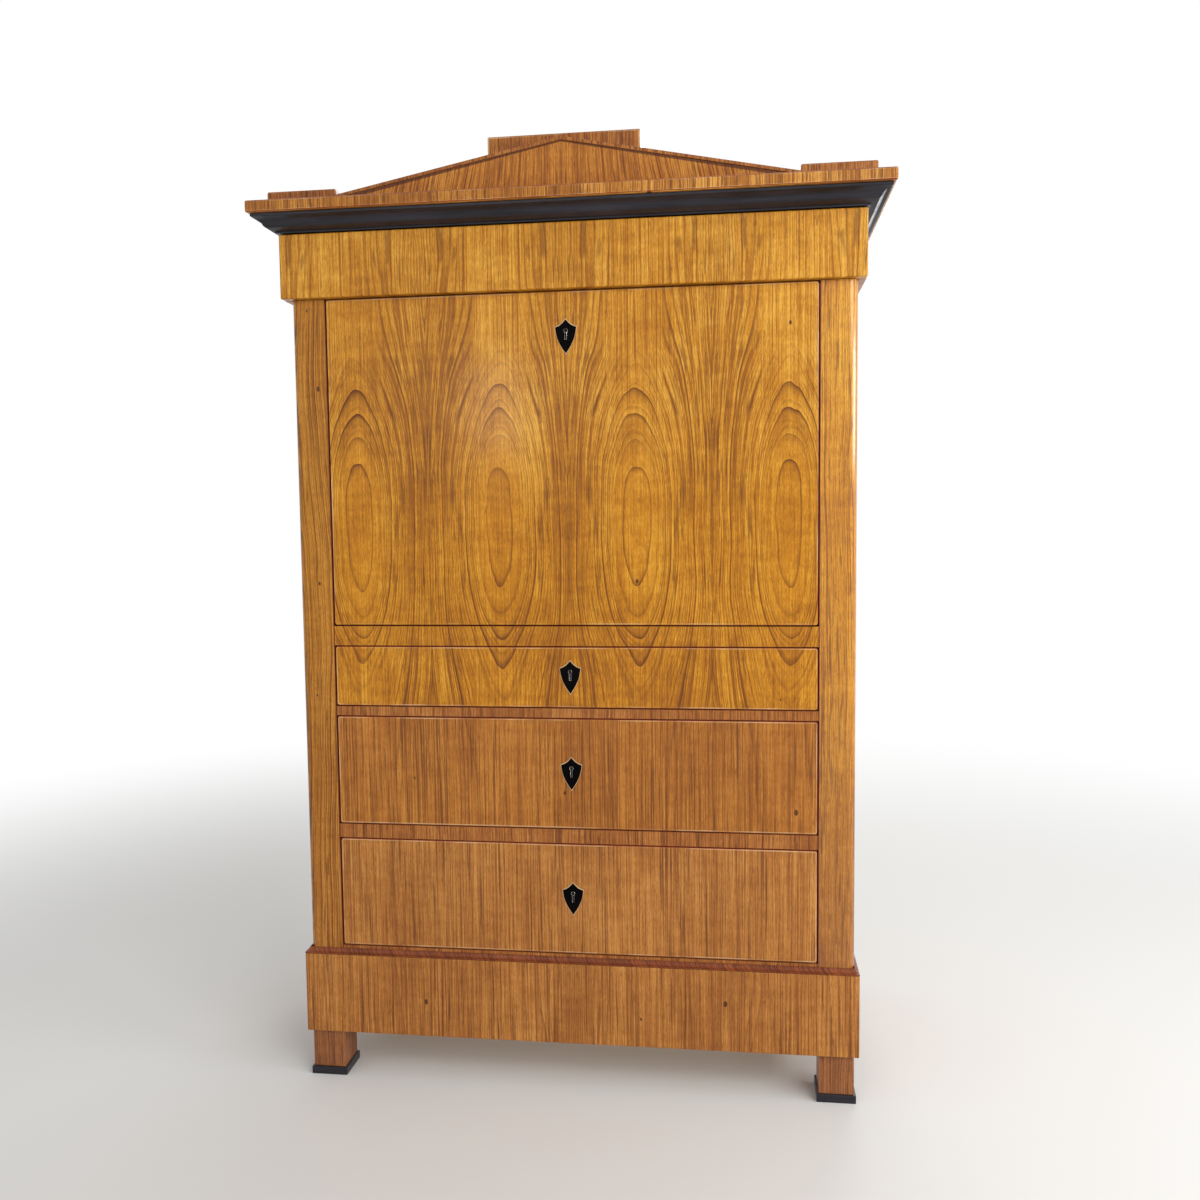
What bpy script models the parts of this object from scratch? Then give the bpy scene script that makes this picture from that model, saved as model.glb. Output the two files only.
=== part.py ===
# Fall front secretaire: a veneered carcase on four block feet, with a pediment, a
# full-width frieze drawer, a writing fall on two let-in pivot irons with stop arms,
# three long drawers below, and a fitted insert of small drawers behind the fall.
# Metres, +Z up, +X to the sitter's right, the front faces -Y. The floor is z = 0 and
# the middle of the overall footprint is x = y = 0. Inside the script y is measured
# from the front plane of the posts, and one empty carries everything to its place.

import math

import bmesh
import bpy
from mathutils import Vector

# Clearances
SEAT_GAP = 0.0003
FRONT_SEAM = 0.0013
SMALL_PLAY = 0.0008
IRON_PLAY = 0.0015

# Carcase
CASE_HALF_WIDTH = 0.470
CASE_DEPTH = 0.460
SIDE_THICKNESS = 0.020
BACK_THICKNESS = 0.012
POST_WIDTH = 0.060
POST_DEPTH = 0.028
POST_ROUNDING = 0.014

# Heights, from the floor up
PAD_HEIGHT = 0.0137
FOOT_HEIGHT = 0.0673
PLINTH_HEIGHT = 0.140
BOTTOM_BOARD = 0.015
BOTTOM_DRAWER_HEIGHT = 0.193
LOWER_DIVIDER = 0.024
MIDDLE_DRAWER_HEIGHT = 0.191
UPPER_DIVIDER = 0.016
TOP_DRAWER_HEIGHT = 0.1055
FALL_RAIL_HEIGHT = 0.0345
FALL_HEIGHT = 0.5515
FRIEZE_HEIGHT = 0.1075
CORNICE_HEIGHT = 0.0265
SLAB_THICKNESS = 0.0195

# Feet and plinth
FOOT_WIDTH = 0.0575
FOOT_INSET = 0.0005
PAD_PROUD = 0.0035
PLINTH_PROUD = 0.0075
PLINTH_THICKNESS = 0.020
BEAD_HEIGHT = 0.010
BEAD_FOOT = 0.002
BEAD_TOP = 0.0009

# Frieze and cornice
FRIEZE_PROUD = 0.0125
FRIEZE_LET_IN = 0.008
FRIEZE_DECK = 0.022
CORNICE_REACH = 0.046
CORNICE_TOP_FILLET = 0.005
CORNICE_TOP_STEP = 0.0015
CORNICE_FOOT_FILLET = 0.002
CORNICE_FOOT_STEP = 0.0035
CORNICE_SWING = 0.003
CORNICE_BULGE = 0.0015
SLAB_OVERHANG = 0.052

# Pediment
GABLE_RISE = 0.0825
GABLE_TUCK = 0.0465
GABLE_PROUD = 0.0235
RAKING_HEIGHT = 0.0055
RAKING_PROUD = 0.0015
SIDE_BLOCK_INSET = 0.0255
SIDE_BLOCK_WIDTH = 0.1185
SIDE_BLOCK_DEPTH = 0.115
SIDE_BLOCK_HEIGHT = 0.021
SIDE_BLOCK_PROUD = 0.0205
CENTRE_BLOCK_HALF = 0.125
CENTRE_BLOCK_HEIGHT = 0.096
CENTRE_BLOCK_DEPTH = 0.090

# Writing fall, its irons, and the rail and deck they work in
FALL_THICKNESS = 0.024
FALL_CLEARANCE = 0.0006
FALL_RAIL_DEPTH = 0.045
IRON_THICKNESS = 0.004
IRON_EDGE = 0.003
IRON_LEG = 0.140
IRON_REACH = 0.138
IRON_ARM_WIDTH = 0.020
IRON_ARM_GRIP = 0.006
PIVOT_RADIUS = 0.004
PIVOT_LENGTH = 0.011

# Long drawers
DRAWER_FRONT = 0.022
DRAWER_SIDE = 0.012
DRAWER_BOTTOM = 0.008
DRAWER_HEADROOM = 0.006
DRAWER_STOP = 0.006
GUIDE_HEIGHT = 0.018

# Locks and shield escutcheons
SHIELD_WIDTH = 0.035
SHIELD_HEIGHT = 0.055
SHIELD_SHOULDER = 0.0125
SHIELD_HOLLOW = 0.0025
SHIELD_FULLNESS = 0.0038
SHIELD_DEPTH = 0.002
SHIELD_PROUD = 0.0004
FALL_SHIELD_DROP = 0.075
KEYHOLE_RADIUS = 0.0035
KEYHOLE_RISE = 0.0095
KEYHOLE_SLOT = 0.0036
KEYHOLE_LENGTH = 0.015
LOCK_WIDTH = 0.056
LOCK_HEIGHT = 0.044
LOCK_DEPTH = 0.009
LOCK_PLATE = 0.0025
LOCK_PIN_RADIUS = 0.0013
BOLT_WIDTH = 0.012
BOLT_THICKNESS = 0.004
BOLT_TRAVEL = 0.009
BOLT_RISE = 0.017

# Insert behind the fall
INSERT_SETBACK = 0.200
INSERT_WALL = 0.008
INSERT_BACK = 0.006
INSERT_NICHE_HALF = 0.150
INSERT_DRAWER_HEIGHT = 0.085
INSERT_TOP_ROW = 0.130
INSERT_DRAWER_WALL = 0.008
KNOB_RADIUS = 0.008
KNOB_LENGTH = 0.016
KNOB_CROWN = 0.0045
KNOB_STEM_RADIUS = 0.004
KNOB_STEM_LENGTH = 0.0055
KNOB_GLUED = 0.003

# Edge rounding
SOFT_EDGE = 0.0008
SLAB_EDGE = 0.003

# Levels and widths that follow from the sizes above
plinth_bottom = PAD_HEIGHT + FOOT_HEIGHT
plinth_top = plinth_bottom + PLINTH_HEIGHT
bottom_drawer_low = plinth_top + BOTTOM_BOARD
bottom_drawer_high = bottom_drawer_low + BOTTOM_DRAWER_HEIGHT
middle_drawer_low = bottom_drawer_high + LOWER_DIVIDER
middle_drawer_high = middle_drawer_low + MIDDLE_DRAWER_HEIGHT
top_drawer_low = middle_drawer_high + UPPER_DIVIDER
top_drawer_high = top_drawer_low + TOP_DRAWER_HEIGHT
fall_low = top_drawer_high + FALL_RAIL_HEIGHT
fall_high = fall_low + FALL_HEIGHT
frieze_high = fall_high + FRIEZE_HEIGHT
slab_low = frieze_high + CORNICE_HEIGHT
slab_high = slab_low + SLAB_THICKNESS

opening_half = CASE_HALF_WIDTH - POST_WIDTH
front_half = opening_half - FRONT_SEAM
board_half = CASE_HALF_WIDTH - SIDE_THICKNESS - SEAT_GAP
back_face = CASE_DEPTH - BACK_THICKNESS
board_back = back_face - SEAT_GAP
behind_post = POST_DEPTH + SEAT_GAP
slab_half = CASE_HALF_WIDTH + SLAB_OVERHANG
side_block_outer = slab_half - SIDE_BLOCK_INSET
side_block_inner = side_block_outer - SIDE_BLOCK_WIDTH
gable_run = side_block_inner + GABLE_TUCK
front_plane_y = SLAB_OVERHANG - (SLAB_OVERHANG + CASE_DEPTH) / 2

pivot_y = FALL_THICKNESS / 2
pivot_z = fall_low + FALL_THICKNESS / 2
deck_high = fall_low + FALL_THICKNESS
cove_radius = FALL_THICKNESS / math.sqrt(2) + FALL_CLEARANCE
arm_top = POST_DEPTH + SEAT_GAP - pivot_y
iron_inner = front_half - IRON_THICKNESS
arm_outer = opening_half + IRON_ARM_GRIP
drawer_back = board_back - DRAWER_STOP

parts = bpy.data.collections.new("fall_front_secretaire")
tools = bpy.data.collections.new("cutters")
groups = {}


def finish(name, colour, roughness, metallic=0.0):
    """A plain Principled material of one colour."""
    material = bpy.data.materials.new(name)
    material.use_nodes = True
    shader = material.node_tree.nodes["Principled BSDF"]
    shader.inputs["Base Color"].default_value = (*colour, 1.0)
    shader.inputs["Roughness"].default_value = roughness
    shader.inputs["Metallic"].default_value = metallic
    material.diffuse_color = (*colour, 1.0)
    return material


def add_group(name, origin=(0.0, 0.0, 0.0)):
    """An empty on the group's joint axis, which carries the group's pieces."""
    empty = bpy.data.objects.new(name, None)
    empty.empty_display_size = 0.05
    parts.objects.link(empty)
    if name != "secretaire":
        empty.parent = groups["secretaire"][0]
    empty.location = origin
    groups[name] = (empty, Vector(origin))


def place(piece, group, spot, cutter=False):
    """Put a piece at a spot in case coordinates, as a child of its group's empty."""
    empty, origin = groups[group]
    piece.parent = empty
    piece.location = Vector(spot) - origin
    if group == "secretaire":
        piece.location = spot
    if cutter:
        tools.objects.link(piece)
        piece.hide_render = True
        piece.display_type = "WIRE"
    else:
        parts.objects.link(piece)


def box(name, low, high, material, group, rounding=0.0, cutter=False):
    """A block between two corners, with its edges softened by a Bevel if asked."""
    size = [b - a for a, b in zip(low, high)]
    mesh = bpy.data.meshes.new(name)
    shape = bmesh.new()
    bmesh.ops.create_cube(shape, size=1.0)
    bmesh.ops.scale(shape, vec=size, verts=shape.verts)
    shape.to_mesh(mesh)
    shape.free()
    mesh.materials.append(material)
    piece = bpy.data.objects.new(name, mesh)
    place(piece, group, [(a + b) / 2 for a, b in zip(low, high)], cutter)
    if rounding:
        soften(piece, rounding)
    return piece


def soften(piece, width, segments=1):
    """Round the sharp edges of a piece."""
    bevel = piece.modifiers.new("soft_edges", "BEVEL")
    bevel.width = width
    bevel.segments = segments
    bevel.limit_method = "ANGLE"
    bevel.angle_limit = math.radians(40)


def rod(name, radius, length, spot, material, group, sides=16, cutter=False, along="X"):
    """A cylinder centred on a spot, along X or Y."""
    mesh = bpy.data.meshes.new(name)
    shape = bmesh.new()
    bmesh.ops.create_cone(
        shape,
        cap_ends=True,
        segments=sides,
        radius1=radius,
        radius2=radius,
        depth=length,
    )
    shape.to_mesh(mesh)
    shape.free()
    mesh.materials.append(material)
    mesh.shade_smooth()
    mesh.set_sharp_from_angle(angle=math.radians(40))
    piece = bpy.data.objects.new(name, mesh)
    turns = {"X": (0.0, math.pi / 2, 0.0), "Y": (math.pi / 2, 0.0, 0.0)}
    piece.rotation_euler = turns[along]
    place(piece, group, spot, cutter)
    return piece


def sheet(name, points, thickness, plane, spot, material, group, cutter=False):
    """A flat outline given thickness. Plane 'plan' takes x, y points and rises along z,
    'front' takes x, z points, and 'side' takes y, z points. The spot is where the
    outline's own zero lies, in the middle of the thickness."""
    curve = bpy.data.curves.new(name, "CURVE")
    curve.dimensions = "2D"
    curve.fill_mode = "BOTH"
    curve.extrude = thickness / 2
    spline = curve.splines.new("POLY")
    spline.points.add(len(points) - 1)
    for point, (u, v) in zip(spline.points, points):
        point.co = (u, v, 0.0, 1.0)
    spline.use_cyclic_u = True
    outline = bpy.data.objects.new(name + "_outline", curve)
    bpy.context.scene.collection.objects.link(outline)
    ready = outline.evaluated_get(bpy.context.evaluated_depsgraph_get())
    mesh = bpy.data.meshes.new_from_object(ready)
    bpy.data.objects.remove(outline)
    weld(mesh)
    mesh.materials.clear()
    mesh.materials.append(material)
    piece = bpy.data.objects.new(name, mesh)
    turns = {
        "plan": (0.0, 0.0, 0.0),
        "front": (math.pi / 2, 0.0, 0.0),
        "side": (math.pi / 2, 0.0, math.pi / 2),
    }
    piece.rotation_euler = turns[plane]
    place(piece, group, spot, cutter)
    return piece


def weld(mesh):
    """Join the loose caps of a filled outline to its walls."""
    shape = bmesh.new()
    shape.from_mesh(mesh)
    bmesh.ops.remove_doubles(shape, verts=shape.verts, dist=0.00001)
    bmesh.ops.recalc_face_normals(shape, faces=shape.faces)
    shape.to_mesh(mesh)
    shape.free()


def combine(piece, other, operation):
    """Cut a piece by another, or join another to it."""
    boolean = piece.modifiers.new(other.name, "BOOLEAN")
    boolean.operation = operation
    boolean.solver = "EXACT"
    boolean.object = other


def cut_box(piece, name, low, high, group):
    """Cut a rectangular pocket or notch."""
    cutter = box(piece.name + "_" + name, low, high, pine, group, cutter=True)
    combine(piece, cutter, "DIFFERENCE")


def join_box(piece, name, low, high, group):
    """Join a block to a piece."""
    block = box(piece.name + "_" + name, low, high, pine, group, cutter=True)
    combine(piece, block, "UNION")


def mitred_moulding(name, section, height, material, group, rounding=0.0):
    """A moulding round the left side, front and right side of the case, mitred at the
    two front corners. Its section is (outward, upward) points from the case's face."""
    reach_x = CASE_HALF_WIDTH
    stations = [
        (-reach_x, CASE_DEPTH, -1, 0),
        (-reach_x, 0.0, -1, -1),
        (reach_x, 0.0, 1, -1),
        (reach_x, CASE_DEPTH, 1, 0),
    ]
    shape = bmesh.new()
    rings = []
    for x, y, out_x, out_y in stations:
        ring = [shape.verts.new((x + out_x * o, y + out_y * o, z)) for o, z in section]
        rings.append(ring)
    for ring, following in zip(rings, rings[1:]):
        for k in range(len(section)):
            n = (k + 1) % len(section)
            shape.faces.new((ring[k], ring[n], following[n], following[k]))
    shape.faces.new(rings[0])
    shape.faces.new(rings[-1])
    bmesh.ops.recalc_face_normals(shape, faces=shape.faces)
    mesh = bpy.data.meshes.new(name)
    shape.to_mesh(mesh)
    shape.free()
    mesh.materials.append(material)
    piece = bpy.data.objects.new(name, mesh)
    place(piece, group, (0.0, 0.0, height))
    return piece


def both_sides(low, high, side):
    """Mirror a block's corners to the left (-1) or leave them on the right (+1)."""
    if side > 0:
        return low, high
    return (-high[0], low[1], low[2]), (-low[0], high[1], high[2])


def board(name, low, thickness, front_y, material, guided=True):
    """A full board: between the posts in front, between the sides behind, with a guide
    strip along each side for the drawer that runs on it."""
    high = low + thickness
    piece = box(
        name,
        (-board_half, front_y, low),
        (board_half, board_back, high),
        material,
        "secretaire",
    )
    for side, end in ((-1, "left"), (1, "right")):
        corners = both_sides(
            (opening_half - SEAT_GAP, -POST_DEPTH, low - thickness),
            (CASE_HALF_WIDTH, behind_post, high + thickness),
            side,
        )
        cut_box(piece, "post_notch_" + end, *corners, "secretaire")
        if guided:
            corners = both_sides(
                (opening_half, behind_post + SEAT_GAP, low + thickness / 2),
                (board_half - SEAT_GAP, board_back - SEAT_GAP, high + GUIDE_HEIGHT),
                side,
            )
            join_box(piece, "guide_" + end, *corners, "secretaire")
    return piece


def shield_outline(grow=0.0, steps=7):
    """Pointed shield: hollow shoulders meet in a point above, full sides meet below."""
    point_grow = grow * math.hypot(SHIELD_WIDTH / 2, SHIELD_HEIGHT) / SHIELD_WIDTH
    half = SHIELD_WIDTH / 2 + grow
    top = SHIELD_HEIGHT / 2 + point_grow
    low = -SHIELD_HEIGHT / 2 - point_grow
    shoulder = SHIELD_HEIGHT / 2 - SHIELD_SHOULDER + grow
    right = []
    for k in range(steps):
        t = k / steps
        hollow = SHIELD_HOLLOW * math.sin(math.pi * t)
        right.append((half * t, top + (shoulder - top) * t - hollow))
    for k in range(steps):
        t = k / steps
        fullness = SHIELD_FULLNESS * math.sin(math.pi * t)
        right.append((half * (1 - t) + fullness, shoulder + (low - shoulder) * t))
    left = [(-x, z) for x, z in reversed(right[1:])]
    return right + [(0.0, low)] + left


def keyhole_outline(grow=0.0, steps=8):
    """A round hole with a slot hanging from it."""
    radius = KEYHOLE_RADIUS + grow
    half_slot = KEYHOLE_SLOT / 2 + grow
    start = math.asin(half_slot / radius)
    low = KEYHOLE_RISE - KEYHOLE_LENGTH - grow
    right = [(half_slot, low)]
    for k in range(steps + 1):
        angle = start + (math.pi - start) * k / steps
        right.append(
            (radius * math.sin(angle), KEYHOLE_RISE - radius * math.cos(angle))
        )
    left = [(-x, z) for x, z in reversed(right[:-1])]
    return right + left


def fit_lock(name, front, thickness, centre, edge, above, joint_group, bolt_group):
    """Shield, box lock and sliding bolt in a front, with a mortise in the board above.
    Centre is the shield's middle and edge the front's own top edge."""
    lock_front = thickness - LOCK_DEPTH
    bolt_front = lock_front + LOCK_PLATE
    bolt_back = bolt_front + BOLT_THICKNESS
    lock_low = centre - LOCK_HEIGHT / 2
    lock_high = centre + LOCK_HEIGHT / 2 + KEYHOLE_RISE / 2
    bolt_half = BOLT_WIDTH / 2
    play = SMALL_PLAY

    # Recess and keyway in the front, and the lock's pocket and bolt groove behind
    recess = sheet(
        front.name + "_shield_recess",
        shield_outline(SEAT_GAP),
        2 * (SHIELD_DEPTH + SEAT_GAP),
        "front",
        (0, 0, centre),
        pine,
        joint_group,
        cutter=True,
    )
    keyway = sheet(
        front.name + "_keyway",
        keyhole_outline(SEAT_GAP),
        2 * thickness,
        "front",
        (0, 0, centre),
        pine,
        joint_group,
        cutter=True,
    )
    combine(front, recess, "DIFFERENCE")
    combine(front, keyway, "DIFFERENCE")
    cut_box(
        front,
        "lock_pocket",
        (-LOCK_WIDTH / 2 - SEAT_GAP, lock_front - SEAT_GAP, lock_low - SEAT_GAP),
        (LOCK_WIDTH / 2 + SEAT_GAP, 2 * thickness, lock_high + SEAT_GAP),
        joint_group,
    )
    cut_box(
        front,
        "bolt_groove",
        (-bolt_half - play, bolt_front - play, centre),
        (bolt_half + play, 2 * thickness, edge + play),
        joint_group,
    )

    # The shield, with its keyhole right through
    shield_middle = (SHIELD_DEPTH - SHIELD_PROUD) / 2
    shield = sheet(
        name + "_escutcheon",
        shield_outline(),
        SHIELD_DEPTH + SHIELD_PROUD,
        "front",
        (0, shield_middle, centre),
        ebony,
        joint_group,
    )
    keyhole = sheet(
        name + "_keyhole",
        keyhole_outline(),
        8 * SHIELD_DEPTH,
        "front",
        (0, shield_middle, centre),
        pine,
        joint_group,
        cutter=True,
    )
    combine(shield, keyhole, "DIFFERENCE")

    # The lock: a case with a keyway, a drill pin and a channel for the bolt
    lock = box(
        name + "_lock",
        (-LOCK_WIDTH / 2, lock_front, lock_low),
        (LOCK_WIDTH / 2, thickness - SEAT_GAP, lock_high),
        iron,
        joint_group,
    )
    way_depth = LOCK_DEPTH - LOCK_PLATE
    way = sheet(
        name + "_lock_keyway",
        keyhole_outline(),
        2 * way_depth,
        "front",
        (0, lock_front, centre),
        pine,
        joint_group,
        cutter=True,
    )
    combine(lock, way, "DIFFERENCE")
    pin_length = thickness - SEAT_GAP - LOCK_PLATE / 2 - SHIELD_DEPTH
    drill_pin = rod(
        name + "_lock_pin",
        LOCK_PIN_RADIUS,
        pin_length,
        (0, SHIELD_DEPTH + pin_length / 2, centre + KEYHOLE_RISE),
        iron,
        joint_group,
        sides=10,
        cutter=True,
        along="Y",
    )
    combine(lock, drill_pin, "UNION")
    cut_box(
        lock,
        "channel",
        (-bolt_half - play, bolt_front - play, centre + BOLT_RISE - play),
        (bolt_half + play, bolt_back + play, lock_high + play),
        joint_group,
    )

    # The bolt, drawn back, and its mortise in the board above
    box(
        name + "_bolt",
        (-bolt_half, bolt_front, centre + BOLT_RISE),
        (bolt_half, bolt_back, edge - SEAT_GAP),
        iron,
        bolt_group,
    )
    cut_box(
        above,
        name + "_mortise",
        (-bolt_half - play, bolt_front - play, edge - play),
        (bolt_half + play, bolt_back + play, edge + BOLT_TRAVEL + play),
        "secretaire",
    )


def drawer_box(name, low, high, group):
    """Two sides, a back and a bottom, dovetailed and glued, open at the top."""
    start = DRAWER_FRONT + SEAT_GAP
    if name == "frieze_drawer":
        start = FRIEZE_LET_IN + SEAT_GAP
    tray = box(
        name + "_box",
        (-front_half, start, low + SEAT_GAP),
        (front_half, drawer_back, high),
        pine,
        group,
    )
    cut_box(
        tray,
        "inside",
        (-front_half + DRAWER_SIDE, start - DRAWER_SIDE, low + SEAT_GAP + DRAWER_BOTTOM),
        (front_half - DRAWER_SIDE, drawer_back - DRAWER_SIDE, high + DRAWER_SIDE),
        group,
    )


def long_drawer(name, low, high, above):
    """A drawer with a flush veneered front, its lock, and its box."""
    add_group(name, (0.0, 0.0, low))
    add_group(name + "_bolt_slide", (0.0, 0.0, (low + high) / 2))
    edge = high - FRONT_SEAM
    front = box(
        name + "_front",
        (-front_half, 0.0, low + FRONT_SEAM),
        (front_half, DRAWER_FRONT, edge),
        veneer,
        name,
        rounding=SOFT_EDGE,
    )
    centre = (low + high) / 2
    fit_lock(
        name, front, DRAWER_FRONT, centre, edge, above, name, name + "_bolt_slide"
    )
    drawer_box(name, low, high - DRAWER_HEADROOM, name)


def make_carcase():
    """Posts, sides, back and the fixed boards."""
    post_low = plinth_top + SEAT_GAP
    post_high = slab_low - SEAT_GAP
    middle = (post_low + post_high) / 2
    arc = []
    for k in range(9):
        angle = math.pi / 2 * k / 8
        arc.append(
            (
                CASE_HALF_WIDTH - POST_ROUNDING + POST_ROUNDING * math.sin(angle),
                POST_ROUNDING - POST_ROUNDING * math.cos(angle),
            )
        )
    right = (
        [(opening_half, 0.0)]
        + arc
        + [(CASE_HALF_WIDTH, POST_DEPTH), (opening_half, POST_DEPTH)]
    )
    for side, end in ((-1, "left"), (1, "right")):
        outline = [(side * x, y) for x, y in right]
        post = sheet(
            "post_" + end,
            outline,
            post_high - post_low,
            "plan",
            (0, 0, middle),
            veneer,
            "secretaire",
        )
        notch = both_sides(
            (opening_half - POST_WIDTH, -POST_DEPTH, fall_high - SEAT_GAP),
            (CASE_HALF_WIDTH + POST_WIDTH, FRIEZE_LET_IN + SEAT_GAP, frieze_high),
            side,
        )
        cut_box(post, "frieze_notch", *notch, "secretaire")
        hole_length = 2 * (PIVOT_LENGTH + FRONT_SEAM + SEAT_GAP)
        bore = rod(
            "post_" + end + "_pivot_bore",
            PIVOT_RADIUS + SEAT_GAP,
            hole_length,
            (side * front_half, pivot_y, pivot_z),
            iron,
            "secretaire",
            cutter=True,
        )
        combine(post, bore, "DIFFERENCE")
        low = (CASE_HALF_WIDTH - SIDE_THICKNESS, behind_post, post_low)
        high = (CASE_HALF_WIDTH, CASE_DEPTH, post_high)
        box("side_" + end, *both_sides(low, high, side), veneer, "secretaire")
        low = (CASE_HALF_WIDTH + SEAT_GAP, FRIEZE_LET_IN + SEAT_GAP, fall_high)
        high = (CASE_HALF_WIDTH + FRIEZE_PROUD, CASE_DEPTH, frieze_high - SEAT_GAP)
        box(
            "frieze_return_" + end,
            *both_sides(low, high, side),
            veneer,
            "secretaire",
            rounding=SOFT_EDGE,
        )

    box(
        "back_panel",
        (-board_half, back_face, post_low),
        (board_half, CASE_DEPTH, post_high),
        pine,
        "secretaire",
    )


def make_boards():
    """The bottom board, two dividers and the deck under the frieze drawer."""
    board("bottom_board", plinth_top, BOTTOM_BOARD, 0.0, pine)
    lower = board("lower_divider", bottom_drawer_high, LOWER_DIVIDER, 0.0, pine)
    upper = board("upper_divider", middle_drawer_high, UPPER_DIVIDER, 0.0, pine)
    deck_front = FRIEZE_LET_IN + SEAT_GAP
    frieze = board("frieze_deck", fall_high, FRIEZE_DECK, deck_front, pine)
    return lower, upper, frieze


def make_base():
    """Plinth boards, the bead on them, feet and pads."""
    outer = CASE_HALF_WIDTH + PLINTH_PROUD
    inner = outer - PLINTH_THICKNESS
    behind = PLINTH_THICKNESS - PLINTH_PROUD
    top = plinth_top - SEAT_GAP
    box(
        "plinth_front",
        (-outer, -PLINTH_PROUD, plinth_bottom),
        (outer, behind, top),
        veneer,
        "secretaire",
        rounding=SOFT_EDGE,
    )
    bead = [
        (SEAT_GAP, SEAT_GAP),
        (PLINTH_PROUD, SEAT_GAP),
        (PLINTH_PROUD, BEAD_FOOT),
    ]
    for k in range(1, 6):
        angle = math.pi / 2 * k / 5
        out = PLINTH_PROUD - (PLINTH_PROUD - BEAD_TOP) * math.sin(angle)
        up = BEAD_HEIGHT - (BEAD_HEIGHT - BEAD_FOOT) * math.cos(angle)
        bead.append((out, up))
    bead.append((SEAT_GAP, BEAD_HEIGHT))
    mitred_moulding("plinth_bead", bead, plinth_top, veneer, "secretaire")

    for side, end in ((-1, "left"), (1, "right")):
        low = (inner, behind + SEAT_GAP, plinth_bottom)
        high = (outer, CASE_DEPTH, top)
        box(
            "plinth_" + end,
            *both_sides(low, high, side),
            veneer,
            "secretaire",
            rounding=SOFT_EDGE,
        )
        foot_out = CASE_HALF_WIDTH - FOOT_INSET
        foot_in = foot_out - FOOT_WIDTH
        for y_low, row, y_block in (
            (0.0, "front", behind + SEAT_GAP),
            (CASE_DEPTH - FOOT_WIDTH, "back", CASE_DEPTH - FOOT_WIDTH + SEAT_GAP),
        ):
            y_high = y_low + FOOT_WIDTH
            low = (foot_in, y_low, PAD_HEIGHT + SEAT_GAP)
            high = (foot_out, y_high, plinth_bottom - SEAT_GAP)
            foot = box(
                f"foot_{row}_{end}",
                *both_sides(low, high, side),
                veneer,
                "secretaire",
            )
            low = (foot_in + SEAT_GAP, y_block, plinth_bottom - FOOT_HEIGHT / 2)
            high = (inner - SEAT_GAP, y_high - SEAT_GAP, top)
            join_box(
                foot, "corner_block", *both_sides(low, high, side), "secretaire"
            )
            pad_back = min(y_high + PAD_PROUD, CASE_DEPTH)
            low = (foot_in - PAD_PROUD, y_low - PAD_PROUD, 0.0)
            high = (foot_out + PAD_PROUD, pad_back, PAD_HEIGHT)
            box(
                f"foot_pad_{row}_{end}",
                *both_sides(low, high, side),
                ebony,
                "secretaire",
                rounding=SOFT_EDGE,
            )


def make_cornice():
    """The ebonised moulding and the slab on it."""
    cyma_low = CORNICE_FOOT_FILLET
    cyma_high = CORNICE_HEIGHT - CORNICE_TOP_FILLET
    cyma_in = FRIEZE_PROUD + CORNICE_FOOT_STEP
    cyma_out = CORNICE_REACH - CORNICE_TOP_STEP
    section = [
        (SEAT_GAP, 0.0),
        (cyma_in, 0.0),
        (cyma_in, cyma_low),
    ]
    for k in range(1, 8):
        t = k / 8
        swing = CORNICE_SWING * math.sin(2 * math.pi * t)
        bulge = CORNICE_BULGE * math.sin(math.pi * t)
        out = cyma_in + (cyma_out - cyma_in) * t + swing + bulge
        section.append((out, cyma_low + (cyma_high - cyma_low) * t))
    top = CORNICE_HEIGHT - SEAT_GAP
    section += [
        (cyma_out, cyma_high),
        (CORNICE_REACH, cyma_high + SEAT_GAP),
        (CORNICE_REACH, top),
        (SEAT_GAP, top),
    ]
    mitred_moulding("cornice_moulding", section, frieze_high, ebony, "secretaire")
    slab = box(
        "cornice_slab",
        (-slab_half, -SLAB_OVERHANG, slab_low),
        (slab_half, CASE_DEPTH, slab_high),
        veneer,
        "secretaire",
    )
    soften(slab, SLAB_EDGE, 2)


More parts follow.
